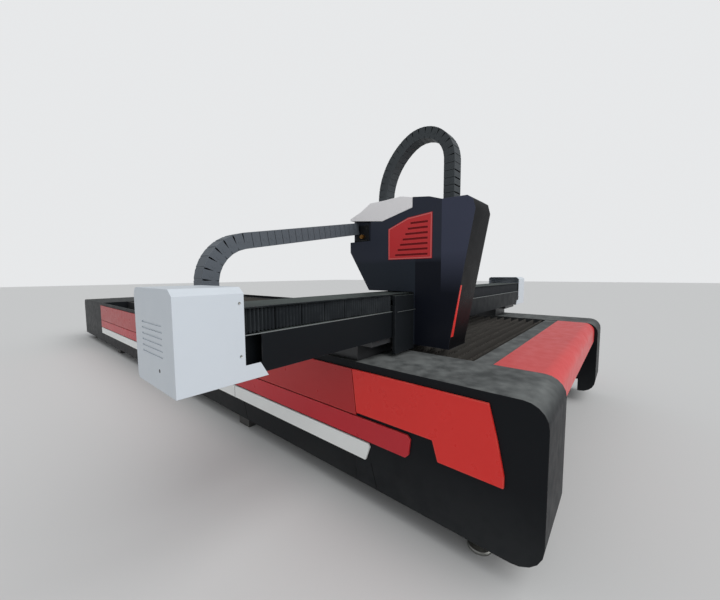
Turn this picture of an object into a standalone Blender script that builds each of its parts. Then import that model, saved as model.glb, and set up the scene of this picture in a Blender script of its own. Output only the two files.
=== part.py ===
"""Gantry laser cutting machine with an open slatted bed, for sheet metal of up to 2 m by 6 m.

Sizes are in metres. X runs across the bed and minus X is the near side, where the beam hangs over.
Y runs along the bed towards its rear, and Z is up. The origin is on the floor, in the middle of
the underside of the levelling foot at the front.
"""
import math

import bmesh
import bpy
from mathutils import Matrix, Vector

# Clearances and stock
CLEARANCE = 0.0003
SHEET = 0.003
PLATE = 0.020
END_STOP_GAP = 0.020

# Travels
Y_TRAVEL = 6.0
Z_TRAVEL = 0.12

# Bed, and the X travel that its width leaves
BED_HALF = 1.545
SIDE_MARGIN = 0.545
X_TRAVEL = 2 * (BED_HALF - SIDE_MARGIN)
BED_FRONT = -0.30
FRONT_CAP_LENGTH = 1.0
REAR_CAP_LENGTH = 1.55
COVER_TOP = 0.845
COVER_BOTTOM = 0.115
COVER_WIDTH = 0.456
COVER_FLANGE = 0.028
CAP_TOP_RADIUS = 0.10
CAP_BOTTOM_RADIUS = 0.13
TRIM = 0.012
COVER_INNER = BED_HALF - COVER_WIDTH
FRONT_CAP_REAR = BED_FRONT + FRONT_CAP_LENGTH

# Frame of the bed
SIDE_BEAM_INSET = 0.045
SIDE_BEAM_HALF = BED_HALF - SIDE_BEAM_INSET
SIDE_BEAM_BOTTOM = 0.30
RAIL_BED_TOP = 0.68
SIDE_BEAM_WALL = 0.020
INNER_WALL = 0.016
FRAME_INSET = 0.15
FLOOR_PLATE = 0.012
LEDGE = 0.054
LEDGE_TOP = 0.7347
RIB_HEIGHT = 0.08
RIB_WIDTH = 0.10
RIBS = 6
LEG = 0.16
LEG_BOTTOM = 0.10
MIDDLE_LEGS = 3
FOOT_RADIUS = 0.06
FOOT_PAD = 0.018
STUD_RADIUS = 0.016

# Cutting table
TABLE_FRONT = 0.17
FRONT_STRIP_WIDTH = 0.115
TRAYS = 4
SLAT_PITCH = 0.08
SLAT_THICKNESS = 0.004
SLAT_TOP = 0.843
SLAT_HEIGHT = 0.095
TRAY_RAIL_WIDTH = 0.040
TRAY_RAIL_HEIGHT = 0.065

# Nose, front panel and rear cover
NOSE_FRONT = -0.27
NOSE_RADIUS = 0.085
NOSE_BOTTOM = 0.66
FRONT_PANEL_BOTTOM = 0.36
SPIGOT_RADIUS = 0.125
SPIGOT_LENGTH = 0.09
SPIGOT_X = 0.55
SPIGOT_Z = 0.52
REAR_COVER_BOTTOM = 0.60

# Coloured side panels, as heights and places along the bed
PANEL_TOP = 0.798
FRONT_PANEL_STEP = 0.5415
FRONT_PANEL_LOW = 0.441
FRONT_PANEL_NOSE = -0.069
FRONT_PANEL_CHEEK = 0.038
FRONT_PANEL_CHEEK_Z = 0.649
FRONT_PANEL_CHIN = 0.071
FRONT_PANEL_CHIN_Z = 0.492
FRONT_PANEL_STEP_Y = 0.196
FRONT_PANEL_STEP_RUN = 0.031
STRIPE_TIP = 0.020
UPPER_STRIPE_BOTTOM = 0.527
RED_STRIPE_TOP = 0.518
RED_STRIPE_BOTTOM = 0.393
WHITE_STRIPE_TOP = 0.380
WHITE_STRIPE_BOTTOM = 0.2755
SEAM_BEHIND_CAP = 0.020
SEAM_GAP = 0.006
RED_STRIPE_LEAD = 0.380
WHITE_STRIPE_LEAD = 0.100
PANEL_SEAM = FRONT_CAP_REAR + SEAM_BEHIND_CAP
RED_STRIPE_FRONT = FRONT_CAP_REAR - RED_STRIPE_LEAD
WHITE_STRIPE_FRONT = FRONT_CAP_REAR - WHITE_STRIPE_LEAD
STRIPE_REAR_INSET = 0.02
LEAN = 0.13

# Gear teeth: the root's depth in modules, and half a tooth at its root and tip as shares of the pitch
RACK_ROOT = 1.25
TOOTH_ROOT = 0.30
TOOTH_TIP = 0.12

# Y rails and racks
Y_RAIL_INSET = 0.305
Y_RAIL_X = BED_HALF - Y_RAIL_INSET
Y_RAIL_WIDTH = 0.034
Y_RAIL_HEIGHT = 0.030
Y_MODULE = 0.003
Y_TEETH = 20
Y_RACK_WIDTH = 0.030
Y_RACK_HEIGHT = 0.030
PINION_FROM_RAIL = 0.126
Y_PINION_X = Y_RAIL_X + PINION_FROM_RAIL
BLOCK_WALL = 0.018
BLOCK_LENGTH = 0.11

# Saddles
SADDLE_LENGTH = 0.40
SADDLE_INWARD = 0.110
SADDLE_OUTWARD = 0.255
SADDLE_FRONT = FRONT_CAP_REAR + END_STOP_GAP
SADDLE_INNER = Y_RAIL_X - SADDLE_INWARD
SADDLE_OUTER = Y_RAIL_X + SADDLE_OUTWARD
SADDLE_BASE = 0.025
SADDLE_WEB = 0.020
SADDLE_TOP_FORWARD = 0.11
SADDLE_TOP_LENGTH = 0.275
SADDLE_TOP_PLATE = 0.034
Y_MOTOR_SIZE = 0.110
Y_MOTOR_RADIUS = 0.0506
Y_MOTOR_Y_OFFSET = 0.24
Y_MOTOR_HEIGHT = 0.41
Y_GEARBOX_HEIGHT = 0.164
Y_SHAFT_RADIUS = 0.012

# Beam
NEAR_OVERHANG = 0.748
BEAM_FORWARD = 0.125
BEAM_FACE_SETBACK = 0.065
BEAM_DEPTH = 0.262
BEAM_NEAR = -BED_HALF - NEAR_OVERHANG
BEAM_FRONT = SADDLE_FRONT - BEAM_FORWARD
BEAM_BOX_FRONT = BEAM_FRONT + BEAM_FACE_SETBACK
BEAM_BACK = BEAM_FRONT + BEAM_DEPTH
BEAM_BOTTOM = 0.969
BEAM_TOP = 1.235
BEAM_WALL = 0.012
BEAM_ROOF = 0.006
BEAM_END_FLANGE = 0.007
LIP_TOP = 1.1305
LOWER_PANEL_INSET = 0.073
NEAR_COVER_LENGTH = 0.246
FAR_COVER_LENGTH = 0.285
END_COVER_PROUD = 0.0035
END_COVER_BEHIND = 0.122
END_COVER_REAR = BEAM_BACK + END_COVER_BEHIND
END_COVER_BOTTOM = 0.953
END_COVER_TOP = 1.313
END_COVER_CREASE = 1.290
END_COVER_RADIUS = 0.030
TONGUE_TOP = 1.013
TONGUE_REACH = 0.099
TONGUE_SLANT = 0.035
END_LOUVRES = 6
END_LOUVRE_FIRST = 0.120
END_LOUVRE_PITCH = 0.022
END_LOUVRE_HEIGHT = 0.006
END_LOUVRE_FRONT = 0.100
END_LOUVRE_REAR = 0.080

# X rails, rack and bellows
X_RAIL_WIDTH = 0.016
X_RAIL_HEIGHT = 0.018
LOWER_X_RAIL_Z = 1.150
UPPER_X_RAIL_Z = 1.213
X_RACK_HEIGHT = 0.0115
X_RACK_DEPTH = 0.020
X_MODULE = 0.002
X_TEETH = 12
PLEATS = 56
PLEAT_DEPTH = 0.028
PLEAT_WALL = 0.004
BELLOWS_SETBACK = 0.006
BELLOWS_FRONT = BEAM_FRONT + BELLOWS_SETBACK
BELLOWS_FOLDED = 0.267

# Carriage's place along the beam
HOUSING_FROM_BEAM_END = 1.200
HOUSING_WIDTH = 0.253
HOUSING_NEAR = BEAM_NEAR + HOUSING_FROM_BEAM_END
HOUSING_FAR = HOUSING_NEAR + HOUSING_WIDTH

# X chain
CHAIN_HEIGHT = 0.086
CHAIN_WIDTH = 0.095
CHAIN_BEHIND_BEAM = 0.258
CHAIN_FLOOR = 1.036
CHAIN_RADIUS = 0.232
CHAIN_FIXED_PAST_HOUSING = 0.993
CHAIN_BEND_BEFORE_HOUSING = 0.872
CHAIN_Y = BEAM_BACK + CHAIN_BEHIND_BEAM
CHAIN_FIXED_X = HOUSING_NEAR + CHAIN_FIXED_PAST_HOUSING
CHAIN_BEND_X = HOUSING_NEAR - CHAIN_BEND_BEFORE_HOUSING
CHAIN_SLOPE = math.radians(9.8)
CHAIN_PITCH = 0.09
CHAIN_GROOVE = 0.010
TRAY_WALL = 0.004
TRAY_SIDE = 0.045
TRAY_ARMS = 3

# Carriage
PLATE_OVERHANG = 0.218
CARRIAGE_PLATE = 0.018
CARRIAGE_PLATE_BOTTOM = 0.8645
CARRIAGE_PLATE_TOP = 1.2265
CARRIAGE_PLATE_HEAD = 1.60
PLATE_TO_BELLOWS = 0.011
X_BLOCK_LENGTH = 0.10
X_BLOCK_MARGIN = 0.0055
HOUSING_BOTTOM = 0.890
HOUSING_OVER_BEAM = 0.007
HOUSING_FORWARD = 0.275
HOUSING_LENGTH = 0.810
HOUSING_TOE = 0.030
HEAD_FORWARD = 0.145
HOUSING_FRONT = BEAM_FRONT - HOUSING_FORWARD
HOUSING_REAR = HOUSING_FRONT + HOUSING_LENGTH
HOUSING_HEAD_FRONT = HOUSING_FRONT - HEAD_FORWARD
HOUSING_HEAD_Z = 1.730
BROW_DEPTH = 0.050
BROW_HEIGHT = 0.082
ROOF_LENGTH = 0.206
ROOF_FRONT_Z = 1.814
ROOF_STEP_LENGTH = 0.086
ROOF_STEP_Z = 1.842
HOUSING_TOP = 1.857
HOUSING_HEEL_Z = 1.524
HOUSING_HEEL_RUN = 0.179
HOUSING_KNEE_Y = HOUSING_REAR - HOUSING_HEEL_RUN
CABLE_NOTCH_LENGTH = 0.200
CABLE_NOTCH_Y = HOUSING_REAR - CABLE_NOTCH_LENGTH
CABLE_NOTCH_Z = 1.600
CABLE_NOTCH_DEPTH = 0.048

# White cap on the housing, as places ahead of the housing's rear
CAP_LENGTH = 0.542
CAP_FRONT_LOW = 1.791
CAP_SEAM = 0.0015
CAP_BROW_Z = 1.857
CAP_BROW_LENGTH = 0.091
CAP_CREST_Z = 1.876
CAP_FLAT_Z = 1.868
CAP_FLAT_HALF = 0.060
CAP_SHOULDER_LENGTH = 0.104
CAP_SHOULDER_Z = 1.817
CAP_TIP_Z = 1.777
CAP_DIP_LENGTH = 0.300
CAP_DIP_Z = 1.729
CAP_REAR_LOW = 1.762
CAP_FRONT_Y = HOUSING_REAR - CAP_LENGTH
CAP_DIP_Y = HOUSING_REAR - CAP_DIP_LENGTH

# Louvred panel and corner strip on the housing
LOUVRE_BEHIND_FRONT = 0.123
LOUVRE_LENGTH = 0.331
LOUVRE_TOP_LENGTH = 0.177
LOUVRE_FRONT = HOUSING_FRONT + LOUVRE_BEHIND_FRONT
LOUVRE_REAR = LOUVRE_FRONT + LOUVRE_LENGTH
LOUVRE_BOTTOM = 1.458
LOUVRE_TOP = 1.745
LOUVRE_TOP_REAR = 1.667
LOUVRE_BEND_Y = LOUVRE_FRONT + LOUVRE_TOP_LENGTH
LOUVRE_BEND_Z = 1.727
LOUVRE_SLOTS = 7
LOUVRE_SLOT_HEIGHT = 0.013
LOUVRE_SLOT_FRONT = 0.030
LOUVRE_SLOT_REAR = 0.055
LOUVRE_SLOT_STEP = 0.020
LOUVRE_FIRST = 0.022
LOUVRE_HEAD = 0.050
STRIP_BOTTOM = 0.970
STRIP_TOP = 1.290
STRIP_WIDTH = 0.032
STRIP_TOP_WIDTH = 0.014

# X motor, Z slide and cutting head
X_MOTOR_SIZE = 0.080
X_MOTOR_LENGTH = 0.20
X_MOTOR_INSIDE = 0.048
X_MOTOR_X = HOUSING_NEAR + X_MOTOR_INSIDE
X_SHAFT_RADIUS = 0.008
HEAD_INSIDE = 0.173
HEAD_X = HOUSING_NEAR + HEAD_INSIDE
Z_RAIL_WIDTH = 0.060
Z_RAIL_DEPTH = 0.016
Z_SLIDE_WIDTH = 0.120
Z_SLIDE_DEPTH = 0.041
Z_SLIDE_BOTTOM = 1.00
Z_SLIDE_TOP = 1.24
HEAD_SIZE = 0.090
HEAD_TOP = 1.30
HEAD_BODY_LOW = 1.002
NOZZLE_TIP = 0.862
SCREW_RADIUS = 0.008
SCREW_FORWARD = 0.065
SCREW_Y = BEAM_FRONT - SCREW_FORWARD
Z_MOTOR_BOTTOM = 1.44
Z_MOTOR_TOP = 1.59
Z_MOTOR_SIZE = 0.060
ARM_WIDTH = 0.050
ARM_TOP = 1.700

# Z chain: a wide bend at its rear that turns into a tighter one over the front
ARCH_INSIDE = 0.118
ARCH_BEHIND_FRONT = 0.250
ARCH_Z = 2.074
ARCH_RADIUS = 0.199
REAR_ARCH_RADIUS = 0.414
REAR_ARCH_TURN = math.radians(60)
ARCH_THICKNESS = 0.072
ARCH_PITCH = 0.085
ARCH_X = HOUSING_NEAR + ARCH_INSIDE
ARCH_Y = HOUSING_FRONT + ARCH_BEHIND_FRONT

# Places worked out from the sizes above
ARCH_REAR_Y = ARCH_Y + REAR_ARCH_RADIUS - (REAR_ARCH_RADIUS - ARCH_RADIUS) * math.cos(REAR_ARCH_TURN)
ARCH_REAR_Z = ARCH_Z - (REAR_ARCH_RADIUS - ARCH_RADIUS) * math.sin(REAR_ARCH_TURN)
REAR_CAP_FRONT = SADDLE_FRONT + SADDLE_LENGTH + Y_TRAVEL + END_STOP_GAP
BED_REAR = REAR_CAP_FRONT + REAR_CAP_LENGTH
FRAME_FRONT = BED_FRONT + FRAME_INSET
FRAME_REAR = BED_REAR - FRAME_INSET
SKIRT_OUTER = BED_HALF - TRIM - CLEARANCE
FRAME_TOP = COVER_TOP - SHEET - CLEARANCE
TABLE_REAR = REAR_CAP_FRONT - END_STOP_GAP
HEAD_OVER_BEAM = BEAM_TOP + HOUSING_OVER_BEAM
PLATE_BACK = BELLOWS_FRONT - PLATE_TO_BELLOWS
PLATE_FRONT = PLATE_BACK - CARRIAGE_PLATE
PLATE_NEAR = HOUSING_NEAR - PLATE_OVERHANG
PLATE_FAR = HOUSING_FAR + PLATE_OVERHANG
BEAM_FAR = PLATE_FAR + X_TRAVEL + BELLOWS_FOLDED
X_RAIL_FRONT = BEAM_BOX_FRONT - CLEARANCE - X_RAIL_HEIGHT
X_PITCH_RADIUS = X_MODULE * X_TEETH / 2
Y_PITCH_RADIUS = Y_MODULE * Y_TEETH / 2
X_RACK_ROOT_Z = UPPER_X_RAIL_Z - X_RAIL_WIDTH / 2 - X_BLOCK_MARGIN - CLEARANCE - X_RACK_HEIGHT
X_PINION_Z = X_RACK_ROOT_Z - RACK_ROOT * X_MODULE - X_PITCH_RADIUS
CHAIN_BEND_Z = CHAIN_FLOOR + CHAIN_HEIGHT / 2 + CHAIN_RADIUS


def clear_scene():
    """Removes what the file starts with."""
    for found in list(bpy.data.objects):
        bpy.data.objects.remove(found)


def linear(channel):
    """One sRGB channel from 0 to 255 as the linear value that a shader takes."""
    share = channel / 255
    return share / 12.92 if share <= 0.04045 else ((share + 0.055) / 1.055) ** 2.4


def finish(name, red, green, blue, roughness, metallic=0.0):
    """A material with one colour, given in sRGB from 0 to 255."""
    made = bpy.data.materials.new(name)
    made.use_nodes = True
    shader = made.node_tree.nodes["Principled BSDF"]
    colour = (linear(red), linear(green), linear(blue), 1.0)
    shader.inputs["Base Color"].default_value = colour
    shader.inputs["Roughness"].default_value = roughness
    shader.inputs["Metallic"].default_value = metallic
    made.diffuse_color = colour
    return made


def point_across(axis, along, first, second):
    """A point on a drawing across one axis: x is drawn in (y, z), y in (x, z) and z in (x, y)."""
    if axis == "x":
        return Vector((along, first, second))
    if axis == "y":
        return Vector((first, along, second))
    return Vector((first, second, along))


def prism(outline, axis, low, high):
    """A solid with one outline, drawn across an axis, from low to high along it."""
    shape = bmesh.new()
    corners = [shape.verts.new(point_across(axis, low, *corner)) for corner in outline]
    base = shape.faces.new(corners)
    grown = bmesh.ops.extrude_face_region(shape, geom=[base])
    raised = [item for item in grown["geom"] if isinstance(item, bmesh.types.BMVert)]
    bmesh.ops.translate(shape, verts=raised, vec=point_across(axis, high - low, 0, 0))
    bmesh.ops.recalc_face_normals(shape, faces=shape.faces)
    return shape


def block(x_range, y_range, z_range):
    """A plain box between three pairs of limits."""
    x_low, x_high = sorted(x_range)
    y_low, y_high = sorted(y_range)
    z_low, z_high = sorted(z_range)
    outline = [(x_low, y_low), (x_high, y_low), (x_high, y_high), (x_low, y_high)]
    return prism(outline, "z", z_low, z_high)


def arc(first, second, radius, start, end, steps):
    """Points on a circle about (first, second), with both angles in degrees."""
    angles = [math.radians(start + (end - start) * step / steps) for step in range(steps + 1)]
    return [(first + radius * math.cos(a), second + radius * math.sin(a)) for a in angles]


def rod(axis, centre, radius, low, high, sides=24):
    """A round bar along an axis, with its centre given in the drawing across that axis."""
    outline = arc(centre[0], centre[1], radius, 0, 360 * (sides - 1) / sides, sides - 1)
    return prism(outline, axis, low, high)


def folded(path, thickness):
    """The outline of a sheet bent along a path, with its thickness to the left of the path."""
    points = [Vector(point) for point in path]
    inner = []
    for index, here in enumerate(points):
        before = points[index - 1] if index else None
        after = points[index + 1] if index + 1 < len(points) else None
        normals = []
        for start, end in ((before, here), (here, after)):
            if start is not None and end is not None:
                run = (end - start).normalized()
                normals.append(Vector((-run.y, run.x)))
        middle = sum(normals, Vector((0, 0))).normalized()
        inner.append(here + middle * (thickness / middle.dot(normals[0])))
    return [tuple(point) for point in points + inner[::-1]]


def add_object(name, shape, origin):
    """Puts a shape made in world places into the scene, with its origin where it is asked for."""
    mesh = bpy.data.meshes.new(name)
    bmesh.ops.translate(shape, verts=shape.verts, vec=-Vector(origin))
    shape.to_mesh(mesh)
    shape.free()
    made = bpy.data.objects.new(name, mesh)
    made.location = origin
    bpy.context.scene.collection.objects.link(made)
    return made


def helper(name, shape):
    """A piece that only joins or cuts another one."""
    made = add_object(name, shape, (0, 0, 0))
    made.hide_render = True
    made.display_type = "WIRE"
    return made


def boolean(target, operation, name, shapes):
    """Unites the shapes with the target, or cuts them from it."""
    group = bpy.data.collections.new(name)
    bpy.context.scene.collection.children.link(group)
    for index, shape in enumerate(shapes):
        made = helper(f"{name}_{index + 1}", shape)
        bpy.context.scene.collection.objects.unlink(made)
        group.objects.link(made)
    modifier = target.modifiers.new(operation.lower(), "BOOLEAN")
    modifier.operation = operation
    modifier.solver = "EXACT"
    modifier.operand_type = "COLLECTION"
    modifier.collection = group


def part(name, surface, shapes, cuts=(), added=(), origin=(0, 0, 0), carrier=None, smooth=False):
    """One sub-part of the machine: shapes united into one body, less the cuts, and then added to."""
    made = add_object(name, shapes[0], origin)
    if len(shapes) > 1:
        boolean(made, "UNION", name + "_joined", shapes[1:])
    if cuts:
        boolean(made, "DIFFERENCE", name + "_cut", cuts)
    if added:
        boolean(made, "UNION", name + "_added", added)
    made.data.materials.append(surface)
    if smooth:
        made.data.shade_smooth()
        made.data.set_sharp_from_angle(angle=math.radians(35))
    if carrier is not None:
        made.parent = carrier
        made.location = Vector(origin) - carrier.matrix_world.translation
    return made


def carrier(name, place, parent=None):
    """An empty that moves with one sliding body and carries its pieces."""
    made = bpy.data.objects.new(name, None)
    bpy.context.scene.collection.objects.link(made)
    made.location = place
    if parent is not None:
        made.location = Vector(place) - parent.matrix_world.translation
        made.parent = parent
    bpy.context.view_layer.update()
    return made


def sided(side, x_range):
    """A range across the bed, turned to the near side (-1) or left at the far side (1)."""
    return tuple(sorted((side * x_range[0], side * x_range[1])))


def make_frame(surface):
    """The welded bed frame: side box beams, inner walls, scrap floor, ribs and legs."""
    half = [
        (SIDE_BEAM_HALF, SIDE_BEAM_BOTTOM),
        (SIDE_BEAM_HALF, RAIL_BED_TOP),
        (COVER_INNER + INNER_WALL, RAIL_BED_TOP),
        (COVER_INNER + INNER_WALL, FRAME_TOP),
        (COVER_INNER, FRAME_TOP),
        (COVER_INNER, LEDGE_TOP),
        (COVER_INNER - LEDGE, LEDGE_TOP),
        (COVER_INNER - LEDGE, LEDGE_TOP - SIDE_BEAM_WALL),
        (COVER_INNER, LEDGE_TOP - SIDE_BEAM_WALL),
        (COVER_INNER, SIDE_BEAM_BOTTOM + FLOOR_PLATE),
    ]
    outline = half + [(-x, z) for x, z in reversed(half)]
    shapes = [prism(outline, "y", FRAME_FRONT, FRAME_REAR)]
    rib_low = SIDE_BEAM_BOTTOM - RIB_HEIGHT
    rib_high = SIDE_BEAM_BOTTOM + FLOOR_PLATE / 2
    rib_reach = SIDE_BEAM_HALF - SIDE_BEAM_WALL
    for place in rib_places():
        reach = (place - RIB_WIDTH / 2, place + RIB_WIDTH / 2)
        shapes.append(block((-rib_reach, rib_reach), reach, (rib_low, rib_high)))
    leg_x = leg_centre()
    for side in (-1, 1):
        across = sided(side, (leg_x - LEG / 2, leg_x + LEG / 2))
        for place in leg_places():
            low = LEG_BOTTOM if place in end_leg_places() else 0.0
            shapes.append(block(across, (place - LEG / 2, place + LEG / 2), (low, rib_high)))
    shapes.append(block((-LEG / 2, LEG / 2), (-LEG / 2, LEG / 2), (LEG_BOTTOM, rib_high)))
    cuts = []
    for side in (-1, 1):
        hollow = sided(side, (COVER_INNER + INNER_WALL, SIDE_BEAM_HALF - SIDE_BEAM_WALL))
        heights = (SIDE_BEAM_BOTTOM + SIDE_BEAM_WALL, RAIL_BED_TOP - SIDE_BEAM_WALL)
        cuts.append(block(hollow, (FRAME_FRONT - PLATE, FRAME_REAR + PLATE), heights))
    part("bed_frame", surface, shapes, cuts)


def rib_places():
    """Where the cross ribs are along the bed: the first over the front foot, the last at the rear."""
    last = FRAME_REAR - RIB_WIDTH
    return [last * index / (RIBS - 1) for index in range(RIBS)]


def end_leg_places():
    """The front and rear legs, which stand on levelling feet."""
    return (0.0, FRAME_REAR - LEG)


def leg_places():
    """All the legs of one side, from front to rear."""
    first, last = end_leg_places()
    steps = MIDDLE_LEGS + 1
    middle = [first + (last - first) * index / steps for index in range(1, steps)]
    return [first] + middle + [last]


def leg_centre():
    """Half the distance between the legs of the two sides."""
    return SIDE_BEAM_HALF - LEG / 2 - SIDE_BEAM_WALL


def make_foot(name, place, surface):
    """A levelling foot: a round pad and its threaded stud, turned in one piece."""
    pad = rod("z", place, FOOT_RADIUS, 0.0, FOOT_PAD)
    stud = rod("z", place, STUD_RADIUS, FOOT_PAD / 2, LEG_BOTTOM - CLEARANCE, 12)
    part(name, surface, [pad, stud], smooth=True)


def make_feet(surface):
    make_foot("front_centre_foot", (0.0, 0.0), surface)
    for side, side_name in ((-1, "near"), (1, "far")):
        for end_name, place in zip(("front", "rear"), end_leg_places()):
            make_foot(f"{side_name}_{end_name}_foot", (side * leg_centre(), place), surface)


def make_y_guides(rail_surface, rack_surface):
    """The guide rail and the toothed rack on each side's rail bed."""
    run = (FRONT_CAP_REAR + CLEARANCE + SHEET, REAR_CAP_FRONT - CLEARANCE - SHEET)
    low = RAIL_BED_TOP + CLEARANCE
    rack_face = y_rack_face()
    for side, side_name in ((-1, "near"), (1, "far")):
        across = sided(side, (Y_RAIL_X - Y_RAIL_WIDTH / 2, Y_RAIL_X + Y_RAIL_WIDTH / 2))
        rail = block(across, run, (low, low + Y_RAIL_HEIGHT))
        part(f"{side_name}_y_rail", rail_surface, [rail])
        across = sided(side, (rack_face, rack_face + Y_RACK_WIDTH))
        rack = block(across, run, (low, low + Y_RACK_HEIGHT))
        part(f"{side_name}_y_rack", rack_surface, [rack])


def y_rack_face():
    """Where the rack's teeth start, as a distance from the middle of the bed."""
    return Y_PINION_X + Y_PITCH_RADIUS + RACK_ROOT * Y_MODULE


def make_slat_trays(surface):
    """Four trays of upright sheet slats, each held by a rail at both of its ends."""
    length = (TABLE_REAR - TABLE_FRONT) / TRAYS
    outer = COVER_INNER - CLEARANCE
    rail_low = LEDGE_TOP + CLEARANCE
    slat_low = SLAT_TOP - SLAT_HEIGHT
    count = round(length / SLAT_PITCH)
    pitch = length / count
    for tray in range(TRAYS):
        front = TABLE_FRONT + tray * length
        rear = front + length - CLEARANCE
        shapes = []
        for side in (-1, 1):
            across = sided(side, (outer - TRAY_RAIL_WIDTH, outer))
            shapes.append(block(across, (front, rear), (rail_low, rail_low + TRAY_RAIL_HEIGHT)))
        reach = outer - TRAY_RAIL_WIDTH / 2
        for index in range(count):
            place = front + (index + 0.5) * pitch
            depth = (place - SLAT_THICKNESS / 2, place + SLAT_THICKNESS / 2)
            shapes.append(block((-reach, reach), depth, (slat_low, SLAT_TOP)))
        part(f"slat_tray_{tray + 1}", surface, shapes)


def cap_profile(inset, front, rear, front_end):
    """The side view of a cap in (y, z), inset by a wall, rounded at the bed's own end."""
    top = COVER_TOP - inset
    low = COVER_BOTTOM
    big = CAP_TOP_RADIUS - inset
    small = CAP_BOTTOM_RADIUS - inset
    if front_end:
        end = front + inset
        outline = [(rear, low), (rear, top)]
        outline += arc(end + big, top - big, big, 90, 180, 5)
        outline += arc(end + small, low + small, small, 180, 270, 5)
        return outline
    end = rear - inset
    outline = [(front, low), (end, low), (end, top - big)]
    outline += arc(end - big, top - big, big, 0, 90, 5)[1:]
    return outline + [(front, top)]


def make_caps(front_surface, rear_surface):
    """The closed covers over both ends of each side, folded and welded from sheet."""
    for side, side_name in ((-1, "near"), (1, "far")):
        across = sided(side, (COVER_INNER, SKIRT_OUTER))
        inside = sided(side, (COVER_INNER - PLATE, SKIRT_OUTER - SHEET))
        closed = sided(side, (COVER_INNER + SHEET, SKIRT_OUTER - SHEET))
        passage = sided(side, (COVER_INNER - PLATE, SIDE_BEAM_HALF + CLEARANCE))
        wall = FRONT_CAP_REAR - SHEET
        front_limit = FRAME_FRONT - CLEARANCE
        shell = prism(cap_profile(0, BED_FRONT, FRONT_CAP_REAR, True), "x", *across)
        hollow = prism(cap_profile(SHEET, BED_FRONT, wall, True), "x", *closed)
        floor = block(closed, (BED_FRONT + CAP_BOTTOM_RADIUS, wall),
                      (COVER_BOTTOM - PLATE, COVER_BOTTOM + PLATE))
        side_gate = block(inside, (front_limit, wall), (COVER_BOTTOM - PLATE, COVER_TOP - SHEET))
        frame_gate = block(passage, (wall - PLATE, FRONT_CAP_REAR + PLATE),
                           (COVER_BOTTOM - PLATE, RAIL_BED_TOP + CLEARANCE))
        wall_gate = block(sided(side, (COVER_INNER - PLATE, COVER_INNER + INNER_WALL + CLEARANCE)),
                          (wall - PLATE, FRONT_CAP_REAR + PLATE), (RAIL_BED_TOP, FRAME_TOP + CLEARANCE))
        part(f"{side_name}_front_cap", front_surface, [shell],
             [hollow, floor, side_gate, frame_gate, wall_gate])
        wall = REAR_CAP_FRONT + SHEET
        rear_limit = FRAME_REAR + CLEARANCE
        shell = prism(cap_profile(0, REAR_CAP_FRONT, BED_REAR, False), "x", *across)
        hollow = prism(cap_profile(SHEET, wall, BED_REAR, False), "x", *closed)
        floor = block(closed, (wall, BED_REAR - SHEET), (COVER_BOTTOM - PLATE, COVER_BOTTOM + PLATE))
        side_gate = block(inside, (wall, rear_limit), (COVER_BOTTOM - PLATE, COVER_TOP - SHEET))
        frame_gate = block(passage, (REAR_CAP_FRONT - PLATE, wall + PLATE),
                           (COVER_BOTTOM - PLATE, RAIL_BED_TOP + CLEARANCE))
        wall_gate = block(sided(side, (COVER_INNER - PLATE, COVER_INNER + INNER_WALL + CLEARANCE)),
                          (REAR_CAP_FRONT - PLATE, wall + PLATE), (RAIL_BED_TOP, FRAME_TOP + CLEARANCE))
        part(f"{side_name}_rear_cap", rear_surface, [shell],
             [hollow, floor, side_gate, frame_gate, wall_gate])


def make_skirts(surface):
    """The long side covers between the caps, each with a flange turned in along its top."""
    run = (FRONT_CAP_REAR + CLEARANCE, REAR_CAP_FRONT - CLEARANCE)
    radius = 2 * SHEET
    for side, side_name in ((-1, "near"), (1, "far")):
        path = [(SKIRT_OUTER, COVER_BOTTOM)]
        path += arc(SKIRT_OUTER - radius, COVER_TOP - radius, radius, 0, 90, 2)
        path.append((SKIRT_OUTER - COVER_FLANGE, COVER_TOP))
        outline = [(side * x, z) for x, z in folded(path, SHEET)]
        part(f"{side_name}_skirt", surface, [prism(outline, "y", *run)])


def slanted(place, height):
    """A place along the bed moved by the lean that all the panels' upright edges have."""
    return place - LEAN * (PANEL_TOP - height)


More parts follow.
